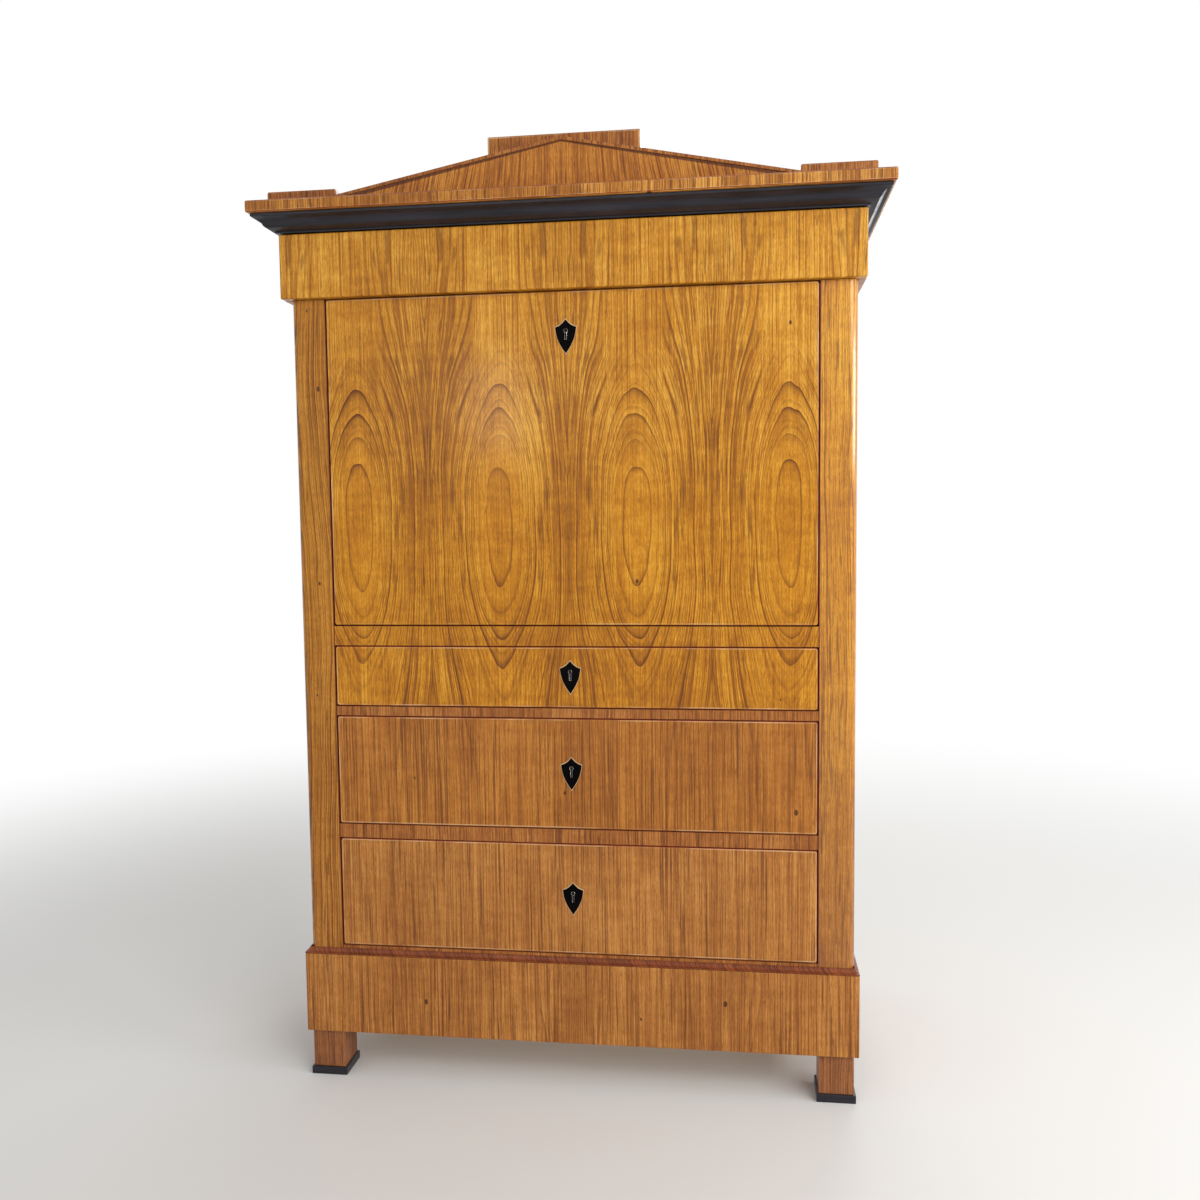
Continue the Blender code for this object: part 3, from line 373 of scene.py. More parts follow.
# returns colour, relief and roughness of a polished veneer
def cherry(wires, across, along, cut):
    mix = figureMix | cut
    seed = cut["seed"]
    leaf = cut["leafWidth"]
    ease, blend, most, fract = wires.ease, wires.blend, wires.most, wires.fract

    # noise with its cells per metre across and along the grain; each use has its own shift
    def grain(acrossScale, alongScale, shift, detail=2.0, roughness=0.5, side=across):
        place = wires.join(side * acrossScale, seed + shift, along * alongScale)
        return wires.noise(place, detail, roughness)

    folded = wires.calc("PINGPONG", across, leaf) if leaf else across
    shared = grain(3.4, 1.9, 0.0, 1.0, side=folded) * cut["drift"]
    own = grain(5.0, 3.1, 5.0) * (0.55 * cut["drift"])
    reach = folded + shared + own
    tone = 0.0
    flat = 0.0
    arch = 0.0
    inner = 0.0
    heart = 1.0
    if leaf:
        reach = reach - cut["ovalCentre"]
        radius, flat, arch = ovalRadius(wires, reach, along, cut)
        share = folded + grain(9.0, 3.0, 11.0) * 0.03
        tones = [(place * leaf, value) for place, value in cut["tone"]]
        tone = curveOf(wires, share, tones, leaf, 1.0) - 0.46
        tone = tone - ease(radius, 0.052, 0.032, 0.0, mix["core"])
    else:
        radius = reach + 3.0
    wobble = grain(36.0, 14.0, 6.0) * 0.0036 + grain(12.0, 6.0, 12.0) * 0.0125
    radius = radius + wobble * (0.45 + flat * 0.55)

    # a face made up of several short pieces, each with its own tone and figure
    if mix["pieceWidth"]:
        sway = wires.noiseAlong(across * 9.0) * 1.6
        place = across / mix["pieceWidth"] + sway + (40.0 + seed)
        piece = wires.lot(place)
        tone = (piece - 0.5) * mix["pieceTone"]
        radius = radius + piece * 5.0
        seam = ease(abs(fract(place) - 0.5), 0.482, 0.494)

    # each ring ends in a dark line, with finer lines inside it
    ring = radius / cut["ringStep"]
    ring = ring + wires.noiseAlong(radius * 50.0) * 0.9
    part = fract(ring)
    strength = 0.3 + wires.lot(ring + 31.0 * seed) * 0.7
    strength = strength * (0.85 + grain(7.0, 2.4, 14.0) * 1.8)
    quiet = 1.0 - arch * 0.8
    if leaf:
        inner = ease(radius, 0.052, 0.03)
        heart = ease(radius, 0.0225, 0.0255) * (1.0 + flat * 0.7)
    calm = 1.0 - most(most(flat * 0.65, inner * 0.9), arch * 0.82)
    bold = part ** mix["boldPower"] * strength * quiet * heart * mix["bold"]
    late = part**2.0 * strength * quiet * heart * mix["late"]
    fine = ring * 3.0
    thin = ease(fract(fine), 0.65, 0.95)
    thin = thin * (0.3 + wires.lot(fine) * 0.7) * calm * mix["thin"]
    lines = most(bold, thin)
    dashes = ease(grain(310.0, 15.0, 30.0, 1.0, side=radius), 0.07, 0.2) * calm

    # below the top drawer the lines are fainter and the finest ones run straight
    stripes = 1.0
    fineness = 0.0
    low = 0.0
    if mix["lowLines"] < 1.0:
        low = ease(along, 0.67, 0.645)
        lines = lines * wires.between(low, 1.0, mix["lowLines"])
        stripes = wires.between(low, 1.0, mix["lowStripes"])
        fineness = wires.between(low, 0.2, 0.7)
        plumb = ease(grain(330.0, 6.0, 31.0, 1.0), 0.1, 0.2)
        dashes = wires.between(low, dashes, plumb * 1.2)
    lines = most(lines, dashes * mix["dashes"])
    hairs = ease(grain(400.0, 3.0, 21.0, side=radius), 0.0, 0.2, -0.1, 1.0) * calm
    if leaf:
        plumb = ease(grain(540.0, 3.0, 26.0), 0.0, 0.2, -0.1, 1.0)
        hairs = wires.between(most(arch * 0.8, low), hairs, plumb)

    fibre = grain(430.0, 7.0, 7.0, 4.0, 0.65)
    mottle = grain(10.0, 4.5, 3.0)
    pores = ease(grain(620.0, 62.0, 9.0, 1.0), 0.09, 0.20)
    shade = (
        mix["base"]
        + late * stripes
        + tone * mix["leafTone"]
        + grain(24.0, 1.4, 20.0, 0.0, side=radius) * quiet * stripes * mix["bands"]
        + hairs * mix["hairs"]
        # painted light from the right: paler towards the right
        + across * -mix["paintedRightLight"]
        + grain(80.0, 1.6, 2.0, 3.0) * mix["streaks"]
        + mottle * mix["mottle"]
        + grain(22.0, 64.0, 4.0, 3.0) * mix["ripple"]
        + fibre * (mix["fibre"] + arch * 0.5 + fineness)
        + grain(520.0, 150.0, 8.0) * mix["flecks"]
    )

    def colours(palette):
        light, middle, dark, line = [tint(*colour) for colour in palette]
        body = wires.ramp(shade, ((0.02, light), (0.46, middle), (0.98, dark)))
        return blend(lines, body, line)

    colour = colours(cut["palettes"][0])
    for palette, change in zip(cut["palettes"][1:], cut["changes"]):
        colour = blend(ease(along, *change), colour, colours(palette))
    colour = blend(pores * mix["pores"], colour, stains["pore"])

    distance, kind = wires.spots(wires.join(across, along * 0.6, 0.0), 8.0)
    knotSize = wires.split(kind)[0] ** 4.0 * 0.026
    knots = ease(distance - knotSize, 0.003, -0.004)
    colour = blend(knots * mix["knots"], colour, stains["knot"])
    if leaf:
        joint = ease(wires.calc("MINIMUM", folded, leaf - folded), 0.0009, 0.0002)
        colour = blend(joint * 0.45, colour, stains["joint"])
    if mix["pieceWidth"]:
        colour = blend(seam * 0.5, colour, stains["seam"])

    # a painted highlight with rubbed polish, pale along an edge, and painted shade, dark on the
    # rounded edges in the seam
    if mix["rimDark"]:
        _, turnY, turnZ = wires.split(wires.turn)
        facing = abs(turnZ if mix["rimAround"] else turnY)
        if mix["rimAround"]:
            facing = wires.calc("SQRT", 1.0 - facing * facing)
        wornAndHighlit = Field(wires, wires.add("Attribute", attribute_name="wornAndHighlit").outputs["Fac"])
        wornAndHighlit = most(wornAndHighlit, ease(facing, 0.998, 0.96)) * ease(facing, 0.92, 0.97)
        uneven = ease(grain(14.0, 14.0, 13.0, 3.0), -0.12, 0.16, 0.1, 1.3)
        if mix["softBelow"]:
            soft = ease(along, mix["softBelow"], mix["softBelow"] + 0.002, 0.3, 1.0)
            wornAndHighlit = wornAndHighlit * soft
            facing = facing + (1.0 - soft) * 0.12
        rim = ease(facing, 0.97, 0.86) * ease(facing, 0.04, 0.3, 0.25, 1.0)
        colour = blend(wornAndHighlit * uneven * mix["rimPale"], colour, stains["rubbedAndHighlit"])
        colour = blend(rim * mix["rimDark"], colour, stains["seamShade"])

    relief = fibre * 0.5 + lines * -0.5 + pores * -0.8
    roughness = 0.32 + lines * 0.08 + mottle * 0.08
    return colour, relief, roughness


# planed softwood: straight rings across, fibres along, now and then a knot
pineLook = ((226, 190, 134), (205, 164, 104), (170, 122, 70))  # light, middle and dark
agedPine = ((206, 164, 108), (180, 136, 82), (138, 96, 54))
pineRing = 0.0075
barePolish = 0.55  # roughness of unpolished wood beside veneer


def pine(wires, across, other, along, seed, look=pineLook):
    def field(acrossScale, alongScale, detail, roughness=0.5):
        place = wires.join(across * acrossScale, other * acrossScale, along * alongScale)
        return wires.noise(place, detail, roughness)

    distance, kind = wires.spots(wires.join(across + seed, other, along * 0.35), 5.0, "3D")
    size = wires.split(kind)[0] ** 3.0 * 0.05
    toKnot = distance - size
    swell = wires.ease(toKnot, 0.16, 0.0) * size * 0.14
    radius = across + other * 0.35 + field(4.0, 1.4, 2.0) * 0.05 + swell + (2.0 + seed)
    ring = radius / pineRing
    late = wires.fract(ring) ** 3.0 * (0.3 + wires.lot(ring))
    fibre = field(190.0, 5.0, 5.0, 0.6)
    mottle = field(7.0, 3.0, 3.0)
    shade = 0.34 + late * 0.5 + fibre * 0.5 + mottle * 0.5
    light, middle, dark = [tint(*colour) for colour in look]
    colour = wires.ramp(shade, ((0.05, light), (0.45, middle), (1.0, dark)))
    knots = wires.ease(toKnot, 0.012, -0.012)
    colour = wires.blend(knots * 0.8, colour, stains["pineKnot"])
    return colour, fibre * 0.6 + late * -0.3


# the two directions across the grain and the one along it, for grain along an axis
def grainAlong(axis, x, y, z):
    return {"x": (z, y, x), "y": (x, z, y), "z": (x, y, z)}[axis]


# a polished veneer all over; across and along come from the piece's own place. On level
# faces the grain runs along x, and a post gets painted shade along its inner edge, in the seam
def veneerMaterial(name, cut, coordinates, onTop=None, creaseShade=0.0, slope=None, finish=None):
    wires = Wiring(name)
    x, y, z = wires.split(wires.place)
    across, along = coordinates(wires, x, y, z)
    colour, relief, roughness = cherry(wires, across, along, cut)
    if onTop:
        level = abs(wires.split(wires.turn)[2]) > 0.7
        topColour, topRelief, _ = cherry(wires, y, x, onTop)
        colour = wires.blend(level, colour, topColour)
        relief = wires.between(level, relief, topRelief)
    # painted shade in the seam along the post's inner edge
    if creaseShade:
        dark = wires.ease(abs(x) - creaseShade, 0.0017, 0.0007)
        dark = dark * wires.ease(y - frontY, 0.006, 0.003)
        colour = wires.blend(dark * 0.9, colour, stains["creaseShade"])
    if slope:
        half, top, fall = slope
        edge = top - abs(x) * (fall / half)
        dark = wires.ease(edge - z, 0.0034, 0.0018)
        colour = wires.blend(dark * 0.8, colour, stains["shadow"])
    wires.bump(relief, 0.00012)
    return wires.surface(colour, roughness, **(polish | (finish or {})))


# a side is veneered outside and bare pine on its back edge and inner face
def sideMaterial(name, cut):
    wires = Wiring(name)
    x, y, z = wires.split(wires.place)
    colour, relief, roughness = cherry(wires, y + 0.02, z, cut)
    bareColour, bareRelief = pine(wires, x, y, z, cut["seed"])
    turnX, turnY, _ = wires.split(wires.turn)
    outward = turnX * wires.calc("SIGN", x)
    bare = wires.most(turnY, outward * -1.0) > 0.6
    colour = wires.blend(bare, colour, bareColour)
    wires.bump(wires.between(bare, relief, bareRelief), 0.00012)
    return wires.surface(colour, wires.between(bare, roughness, barePolish), **polish)


dovetail = {"pitch": 0.043, "pin": 0.0038, "flare": 0.17, "line": 0.0005}


# On the end of a drawer front, pins of the front between the tails of the side. A pin
# widens towards the back
def dovetails(wires, colour, y, z):
    away = abs(wires.fract(z / dovetail["pitch"]) - 0.5) * dovetail["pitch"]
    away = away - (dovetail["pin"] + (y - frontY) * dovetail["flare"])
    end = abs(wires.split(wires.turn)[0]) > 0.7
    pin = wires.ease(away, 0.0002, -0.0002) * end
    line = wires.ease(abs(away), dovetail["line"], 0.0001) * end
    colour = wires.blend(pin * 0.7, colour, stains["pin"])
    return wires.blend(line * 0.75, colour, stains["pinLine"])


# veneer on the front edge or face, to the depth given, and pine behind it
def edgedMaterial(name, cut, depth, axis="x", plane=frontY, knobs=False, joints=False):
    wires = Wiring(name)
    x, y, z = wires.split(wires.place)
    colour, relief, roughness = cherry(wires, x, z, cut)
    bareColour, bareRelief = pine(wires, *grainAlong(axis, x, y, z), cut["seed"])
    bare = y > plane + depth
    if joints:
        bareColour = dovetails(wires, bareColour, y, z)
    colour = wires.blend(bare, colour, bareColour)
    if knobs:
        colour = wires.blend(y < plane - 0.0004, colour, tint(*ebonyLook[0]))
    wires.bump(wires.between(bare, relief, bareRelief), 0.00012)
    roughness = wires.between(bare, roughness, barePolish)
    return wires.surface(colour, roughness, **(polish | {"Coat Weight": 0.2}))


# boards gives how many upright boards a face has and its half width
def pineMaterial(name, axis, seed, look=pineLook, boards=None):
    wires = Wiring(name)
    x, y, z = wires.split(wires.place)
    if boards:
        count, half = boards
        number = (x + half) / (2 * half / count)
        chance = wires.lot(number + seed)
        x = x + chance * 3.0
    colour, relief = pine(wires, *grainAlong(axis, x, y, z), seed, look)
    if boards:
        groove = wires.ease(abs(wires.fract(number) - 0.5), 0.482, 0.494)
        colour = wires.blend(chance * 0.3, colour, stains["agedBoard"])
        colour = wires.blend(groove * 0.6, colour, stains["groove"])
    wires.bump(relief, 0.0002)
    return wires.surface(colour, 0.58, IOR=1.45)


def upright(wires, x, y, z):
    return x, z


def aroundPost(wires, x, y, z):
    return x + y, z


# the leaf goes round an outer corner, mirrored on the left
def aroundFront(wires, x, y, z):
    return x + wires.calc("SIGN", x) * (y - frontY), z


# the two halves of the gable mirror each other and their streaks fan out downwards
def fannedGable(wires, x, y, z):
    side = abs(x)
    return side + wires.ease(side, 0.0, 0.16) * (z - 1.505) * 0.2, z


# stained black; look is its plain and its worn colour
def ebonisedMaterial(name, look, roughness=0.34, gloss=0.3, coat=0.1):
    wires = Wiring(name)
    x, y, z = wires.split(wires.place)
    grain = wires.noise(wires.join(x * 6.0, y * 90.0, z * 260.0), 4.0, 0.6)
    clouds = wires.noise(wires.join(x * 9.0, y * 9.0, z * 30.0), 3.0)
    shade = 0.4 + grain * 0.9 + clouds * 0.8
    colour = wires.ramp(shade, ((0.1, tint(*look[0])), (0.95, tint(*look[1]))))
    wires.bump(grain, 0.0001)
    finish = {"Specular IOR Level": gloss, "Coat Weight": coat, "Coat Roughness": 0.2}
    return wires.surface(colour, roughness + clouds * 0.2, **(polish | finish))


# finely speckled: metal, and the pale line round a shield, which isn't metallic
def speckledMaterial(name, light, dark, roughness, grainScale, metallic=0.9):
    wires = Wiring(name)
    spots = wires.noise(wires.place, 5.0, 0.65, grainScale)
    clouds = wires.noise(wires.place, 3.0, 0.5, 60.0)
    shade = 0.5 + spots * 0.8 + clouds * 0.8
    colour = wires.ramp(shade, ((0.15, tint(*dark)), (0.85, tint(*light))))
    wires.bump(spots, 0.00008)
    return wires.surface(colour, roughness + clouds * 0.3, Metallic=metallic)


fallCut = flitch | {"softBelow": fallFoot + 0.001}
fallVeneer = veneerMaterial("fall_cherry", fallCut, upright)
frontOnPine = edgedMaterial("figured_cherry_on_pine", flitch, 0.0026, joints=True)
friezeCut = flitch | {"rimDark": 0.0, "base": 0.42}
friezeVeneer = veneerMaterial("frieze_cherry", friezeCut, aroundFront)
plinthCut = flitch | {"rimDark": 0.0, "base": 0.5}
plinthVeneer = veneerMaterial("plinth_cherry", plinthCut, aroundFront)
leftPostCut = postCut | {"base": 0.44, "bold": 1.3, "boldPower": 6.0, "late": 0.16, "drift": 0.055}
leftPostVeneer = veneerMaterial("left_post_cherry", leftPostCut, aroundPost, creaseShade=postLow.x)
# a lit copy of the left post: its upper palette is paler, painted light from the right and the
# highlight on its edge
rightPostCut = postCut | {
    "seed": 4.6,
    "base": 0.53, "thin": 0.6, "hairs": 0.6,
    "palettes": (
        ((200, 134, 54), (172, 104, 30), (132, 75, 18), (82, 38, 10)),
        ((234, 172, 50), (204, 134, 22), (158, 92, 14), (98, 46, 10)),
    ),
}
postGloss = {"Coat Weight": 0.75, "Coat Roughness": 0.11, "Coat IOR": 1.5}
rightPostVeneer = veneerMaterial(
    "right_post_cherry", rightPostCut, aroundPost, creaseShade=postLow.x, finish=postGloss
)
sideVeneer = sideMaterial("side_cherry", sideCut)
redder = straightCut | {
    "seed": 6.6,
    "palettes": (((200, 134, 66), (172, 103, 44), (132, 75, 28), (78, 38, 14)),),
    "bands": 0.35, "streaks": 0.2,
    "pieceWidth": 0.13, "pieceTone": 0.12,
    "rimPale": 0.5, "rimDark": 0.9,
}
longGrain = straightCut | {
    "seed": 5.8,
    "palettes": (((222, 160, 76), (188, 122, 46), (146, 86, 30), (88, 44, 16)),),
    "bands": 0.7,
}
slabCut = longGrain | {
    "seed": 2.9,
    "hairs": 1.1, "fibre": 1.4,
    "pieceWidth": 0.046, "pieceTone": 0.5,
    "paintedRightLight": 0.44, "rimPale": 0.55, "rimDark": 0.8, "rimAround": True,
}
gableCut = straightCut | {
    "seed": 3.3,
    "palettes": (((210, 142, 58), (178, 108, 36), (136, 76, 25), (74, 32, 12)),),
    "base": 0.33, "bands": 0.3, "streaks": 0.25, "late": 0.06, "bold": 0.7,
    "drift": 0.016, "ringStep": 0.0125,
}
blockCut = gableCut | {
    "seed": 7.4,
    "palettes": (((196, 130, 64), (166, 100, 42), (128, 72, 30), (72, 32, 14)),),
    "paintedRightLight": 0.44, "rimPale": 0.4, "rimDark": 0.7, "rimAround": True,
}
footCut = straightCut | {
    "seed": 9.2,
    "palettes": (((188, 128, 76), (164, 104, 60), (130, 78, 44), (90, 48, 26)),),
    "paintedRightLight": 0.3,
}
beadCut = straightCut | {
    "seed": 5.2,
    "palettes": (((158, 84, 42), (134, 68, 34), (104, 48, 24), (60, 24, 12)),),
}
innerCut = straightCut | {"seed": 11.3, "palettes": (flitch["palettes"][3],), "bands": 0.8}
gableLow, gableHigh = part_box("tympanum")
gableSlope = (gableHigh.x, gableHigh.z, gableHigh.z - gableLow.z)
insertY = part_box("insert_case")[0].y
knobLength = 0.016
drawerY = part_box("insert_drawer_lower_left")[0].y + knobLength
backBoards = {"count": 6, "groove": 0.0024, "depth": 0.0022}
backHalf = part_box("back_panel")[1].x

boardEdge = edgedMaterial("board_edge", redder, 0.003)
railEdge = edgedMaterial("rail_edge", flitch | {"base": 0.52}, 0.003)
slabVeneer = veneerMaterial("slab_cherry", slabCut, aroundPost, longGrain)
gableVeneer = veneerMaterial("gable_cherry", gableCut, fannedGable, slope=gableSlope)
blockVeneer = veneerMaterial("block_cherry", blockCut, aroundPost, longGrain | {"seed": 1.2})
footVeneer = veneerMaterial("foot_cherry", footCut, aroundPost)
beadVeneer = veneerMaterial("bead_cherry", beadCut, aroundPost)
deckVeneer = veneerMaterial("deck_cherry", innerCut, upright, innerCut)
insertVeneer = edgedMaterial("insert_cherry", innerCut, 0.003, plane=insertY)
innerDrawer = edgedMaterial("inner_drawer_cherry", flitch, 0.004, "y", drawerY, knobs=True)
black = ebonisedMaterial("ebonised_wood", ebonyLook)
shieldBlack = ebonisedMaterial("ebonised_shield", shieldLook, 0.5, 0.04, 0.0)
iron = speckledMaterial("dark_iron", (78, 74, 70), (38, 35, 33), 0.48, 900.0)
steel = speckledMaterial("worn_steel", (168, 164, 156), (104, 100, 94), 0.34, 700.0)
brightSteel = speckledMaterial("bright_steel", (214, 212, 206), (168, 166, 160), 0.25, 700.0)
paleLine = speckledMaterial("pale_line", (232, 204, 162), (184, 142, 94), 0.4, 500.0, 0.0)
pineAlongX = pineMaterial("pine_boards", "x", 0.3)
pineAlongY = pineMaterial("pine_drawer_sides", "y", 0.7)
pineUpright = pineMaterial("pine_back", "z", 1.1, agedPine, (backBoards["count"], backHalf))
print("materials ready:", len(bpy.data.materials))


# A piece from rings of points: points has one row per ring and one column around it
def pieceFromRings(name, points, capped=True, wornAndHighlit=None):
    rings, around, _ = points.shape
    index = np.arange(rings * around).reshape(rings, around)
    nextAround = np.roll(index, -1, axis=1)
    quads = np.stack([index[:-1], nextAround[:-1], nextAround[1:], index[1:]], axis=-1)
    faces = quads.reshape(-1, 4).tolist()
    if capped:
        faces.append(index[0][::-1].tolist())
        faces.append(index[-1].tolist())
    mesh = bpy.data.meshes.new(name)
    mesh.from_pydata(points.reshape(-1, 3).tolist(), [], faces)
    if wornAndHighlit is not None:
        mark = mesh.attributes.new("wornAndHighlit", "FLOAT", "POINT")
        mark.data.foreach_set("value", np.repeat(wornAndHighlit, around).astype(np.float32))
    return tidyPiece(name, mesh)


# merges doubled points, turns every face outwards and links the object
def tidyPiece(name, mesh):
    shape = bmesh.new()
    shape.from_mesh(mesh)
    bmesh.ops.remove_doubles(shape, verts=shape.verts, dist=1e-6)
    bmesh.ops.recalc_face_normals(shape, faces=shape.faces)
    shape.to_mesh(mesh)
    shape.free()
    mesh.shade_smooth()
    piece = bpy.data.objects.new(name, mesh)
    bpy.context.scene.collection.objects.link(piece)
    return piece


# outline of a rounded rectangle, quarter circles at its corners
def roundedRectangle(halfWide, halfHigh, radius, steps=7):
    turn = np.linspace(0.0, math.pi / 2, steps)
    quarter = np.arange(4)[:, None] * math.pi / 2
    angle = (turn[None, :] + quarter).ravel()
    signX = np.repeat([1.0, -1.0, -1.0, 1.0], steps)
    signZ = np.repeat([1.0, 1.0, -1.0, -1.0], steps)
    wide = signX * (halfWide - radius) + radius * np.cos(angle)
    high = signZ * (halfHigh - radius) + radius * np.sin(angle)
    return wide, high


# A board between two corners: a rounded rectangle square to one axis, carried through the
# board's thickness and drawn in by a quarter circle at each end. A narrow strip inside
# each rounded edge is marked for a painted highlight and rubbed polish
def roundedBoard(name, low, high, axis, corner, edge, steps=5, strip=0.0011):
    low, high = np.array(low), np.array(high)
    middle = (low + high) / 2
    half = (high - low) / 2
    wideAxis, highAxis = [k for k in range(3) if k != axis]
    turn = np.linspace(0.0, math.pi / 2, steps)
    margin = np.array([1.5 * strip, strip]) + edge
    inset = np.concatenate([margin, edge * (1 - np.sin(turn))])
    depth = np.concatenate([[0.0, 0.0], edge * (1 - np.cos(turn))])
    wornAndHighlit = np.concatenate([[0.0, 1.0], np.ones(steps)])
    inset = np.concatenate([inset, inset[::-1]])
    depth = np.concatenate([low[axis] + depth, high[axis] - depth[::-1]])
    wornAndHighlit = np.concatenate([wornAndHighlit, wornAndHighlit[::-1]]) if axis < 2 else np.zeros(len(inset))
    rings = []
    for pull, level in zip(inset, depth):
        radius = max(corner - pull, 0.0002)
        wide, tall = roundedRectangle(half[wideAxis] - pull, half[highAxis] - pull, radius)
        ring = np.empty((len(wide), 3))
        ring[:, wideAxis] = middle[wideAxis] + wide
        ring[:, highAxis] = middle[highAxis] + tall
        ring[:, axis] = level
        rings.append(ring)
    return pieceFromRings(name, np.array(rings), wornAndHighlit=wornAndHighlit)


# an outline, (x, z), as a ring of points at one depth
def ringAt(outline, y):
    x, z = outline
    return np.stack([x, np.full_like(x, y), z], axis=1)


# an outline as a solid from one depth to another
def prism(name, outline, near, far):
    return pieceFromRings(name, np.array([ringAt(outline, near), ringAt(outline, far)]))


# a thin wall between two outlines, from one depth to another
def collar(name, outer, inner, near, far):
    corners = ((outer, far), (outer, near), (inner, near), (inner, far), (outer, far))
    rings = [ringAt(outline, y) for outline, y in corners]
    return pieceFromRings(name, np.array(rings), capped=False)


# A moulding round the left, front and right of the case, mitred at the corners. Its
# section is an array of (outward, height) points
def mitredMoulding(name, section):
    out, height = section[:, 0], section[:, 1]
    rings = []
    for side, y, forward in ((-1, backY, 0), (-1, frontY, 1), (1, frontY, 1), (1, backY, 0)):
        x = side * (caseHalf + out)
        rings.append(np.stack([x, y - forward * out, height], axis=1))
    piece = pieceFromRings(name, np.array(rings))
    piece.data.set_sharp_from_angle(angle=math.radians(40))
    return piece


# a profile of (radius, distance) points turned round an axis along -Y through a centre
def turnedPiece(name, profile, centre, steps=20):
    angle = np.linspace(0.0, 2 * math.pi, steps, endpoint=False)
    radius, distance = np.array(profile).T
    x = centre[0] + radius[:, None] * np.cos(angle)
    z = centre[2] + radius[:, None] * np.sin(angle)
    y = np.broadcast_to(centre[1] - distance[:, None], x.shape)
    return pieceFromRings(name, np.stack([x, y, z], axis=-1))


# cuts one piece out of another for good, and drops the cutter
def carve(piece, cutter):
    cut = piece.modifiers.new("cut", "BOOLEAN")
    cut.object = cutter
    cut.operation = "DIFFERENCE"
    cut.solver = "EXACT"
    bpy.context.view_layer.update()
    seen = piece.evaluated_get(bpy.context.evaluated_depsgraph_get())
    mesh = bpy.data.meshes.new_from_object(seen)
    piece.modifiers.clear()
    piece.data = mesh
    bpy.data.objects.remove(cutter)


def boxCutter(low, high):
    return roundedBoard("cutter", low, high, 1, 0.0002, 0.0001, 2, 0.0001)


# even shading on flat faces beside small roundings
def evenShading(piece):
    piece.modifiers.new("shading", "WEIGHTED_NORMAL").keep_sharp = True


def settle(piece, material, body, slot, *replaced):
    piece.data.materials.clear()
    piece.data.materials.append(material)
    evenShading(piece)
    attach(piece, body)
    if replaced:
        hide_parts(*replaced)


# a node of the frame keeps its shape and gets softened edges and its finish
def dressNode(name, material, edge):
    node = nodes[name]
    node.data.materials.clear()
    node.data.materials.append(material)
    node.data.shade_smooth()
    node.modifiers.new("merge", "WELD").merge_threshold = 0.00001
    soft = node.modifiers.new("soft_edges", "BEVEL")
    soft.width = edge
    soft.segments = 2
    soft.limit_method = "ANGLE"
    soft.angle_limit = math.radians(38)
    evenShading(node)


shield = {"shoulder": 0.2273, "hollow": 0.0025, "fullness": 0.0038, "steps": 14, "line": 0.0013}


# Half the outline runs from the point above along a hollow shoulder, then down a full
# side to the point below; the other half mirrors it
def shieldOutline(middle, halfWide, halfHigh, grow=0.0):
    pointGrow = grow * math.hypot(halfWide, 2 * halfHigh) / (2 * halfWide)
    side = halfWide + grow
    top = halfHigh + pointGrow
    shoulder = halfHigh * (1 - 2 * shield["shoulder"]) + grow
    t = np.linspace(0.0, 1.0, shield["steps"], endpoint=False)
    bend = np.sin(math.pi * t)
    x = np.concatenate([side * t, side * (1 - t) + shield["fullness"] * bend])
    above = top + (shoulder - top) * t - shield["hollow"] * bend
    z = np.concatenate([above, shoulder + (-top - shoulder) * t])
    x = np.concatenate([x, [0.0], -x[:0:-1]])
    z = np.concatenate([z, [-top], z[:0:-1]])
    return x, middle + z


keyhole = {"radius": 0.0035, "rise": 0.0095, "slot": 0.0036, "length": 0.015, "steps": 14}


# half a circle from the slot to the top, mirrored; the slot's foot is straight
def keyholeOutline(middle, grow=0.0):
    radius = keyhole["radius"] + grow
    halfSlot = keyhole["slot"] / 2 + grow
    angle = np.linspace(math.asin(halfSlot / radius), math.pi, keyhole["steps"])
    foot = keyhole["rise"] - keyhole["length"] - grow
    x = np.concatenate([[halfSlot], radius * np.sin(angle)])
    z = np.concatenate([[foot], keyhole["rise"] - radius * np.cos(angle)])
    x = np.concatenate([x, -x[-2::-1]])
    z = np.concatenate([z, z[-2::-1]])
    return x, middle + z


fronts = {
    "corner": 0.0045,  # radius of the front's corners, seen from in front
    "edge": 0.0018,
    "play": 0.0004,  # room round what is let in
    "spare": 0.01,  # how far a cutter reaches past the front
}
ironBed = {"skin": 0.0026, "stepHeight": 0.0215}


# A front with its shield recess, keyway and lock pocket, sized from the pieces they hold
def makeFront(name, node, body, material):
    low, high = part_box(node)
    lockLow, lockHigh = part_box(name + "_lock")
    boltLow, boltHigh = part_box(name + "_bolt")
    plateLow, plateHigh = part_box(name + "_escutcheon")
    play = fronts["play"]
    spare = fronts["spare"]
    room = Vector((play, play, play))
    middle = (plateLow.z + plateHigh.z) / 2
    sizes = (middle, (plateHigh.x - plateLow.x) / 2, (plateHigh.z - plateLow.z) / 2)
    front = roundedBoard(node + "_face", low, high, 1, fronts["corner"], fronts["edge"])
    recess = shieldOutline(*sizes, shield["line"])
    carve(front, prism("cutter", recess, low.y - spare, plateHigh.y + play))
    carve(front, prism("cutter", keyholeOutline(middle, play), low.y - spare, high.y + spare))
    carve(front, boxCutter(lockLow - room, lockHigh + room + Vector((0, spare, 0))))
    boltFrom = Vector((boltLow.x - play, boltLow.y - play, middle))
    carve(front, boxCutter(boltFrom, Vector((boltHigh.x + play, high.y + spare, high.z + spare))))
    if name == "fall":
        bedIrons(front, low, high)
    settle(front, material, body, "cherry_front", node)
    makeShield(name, body, sizes, plateLow.y, plateHigh.y)


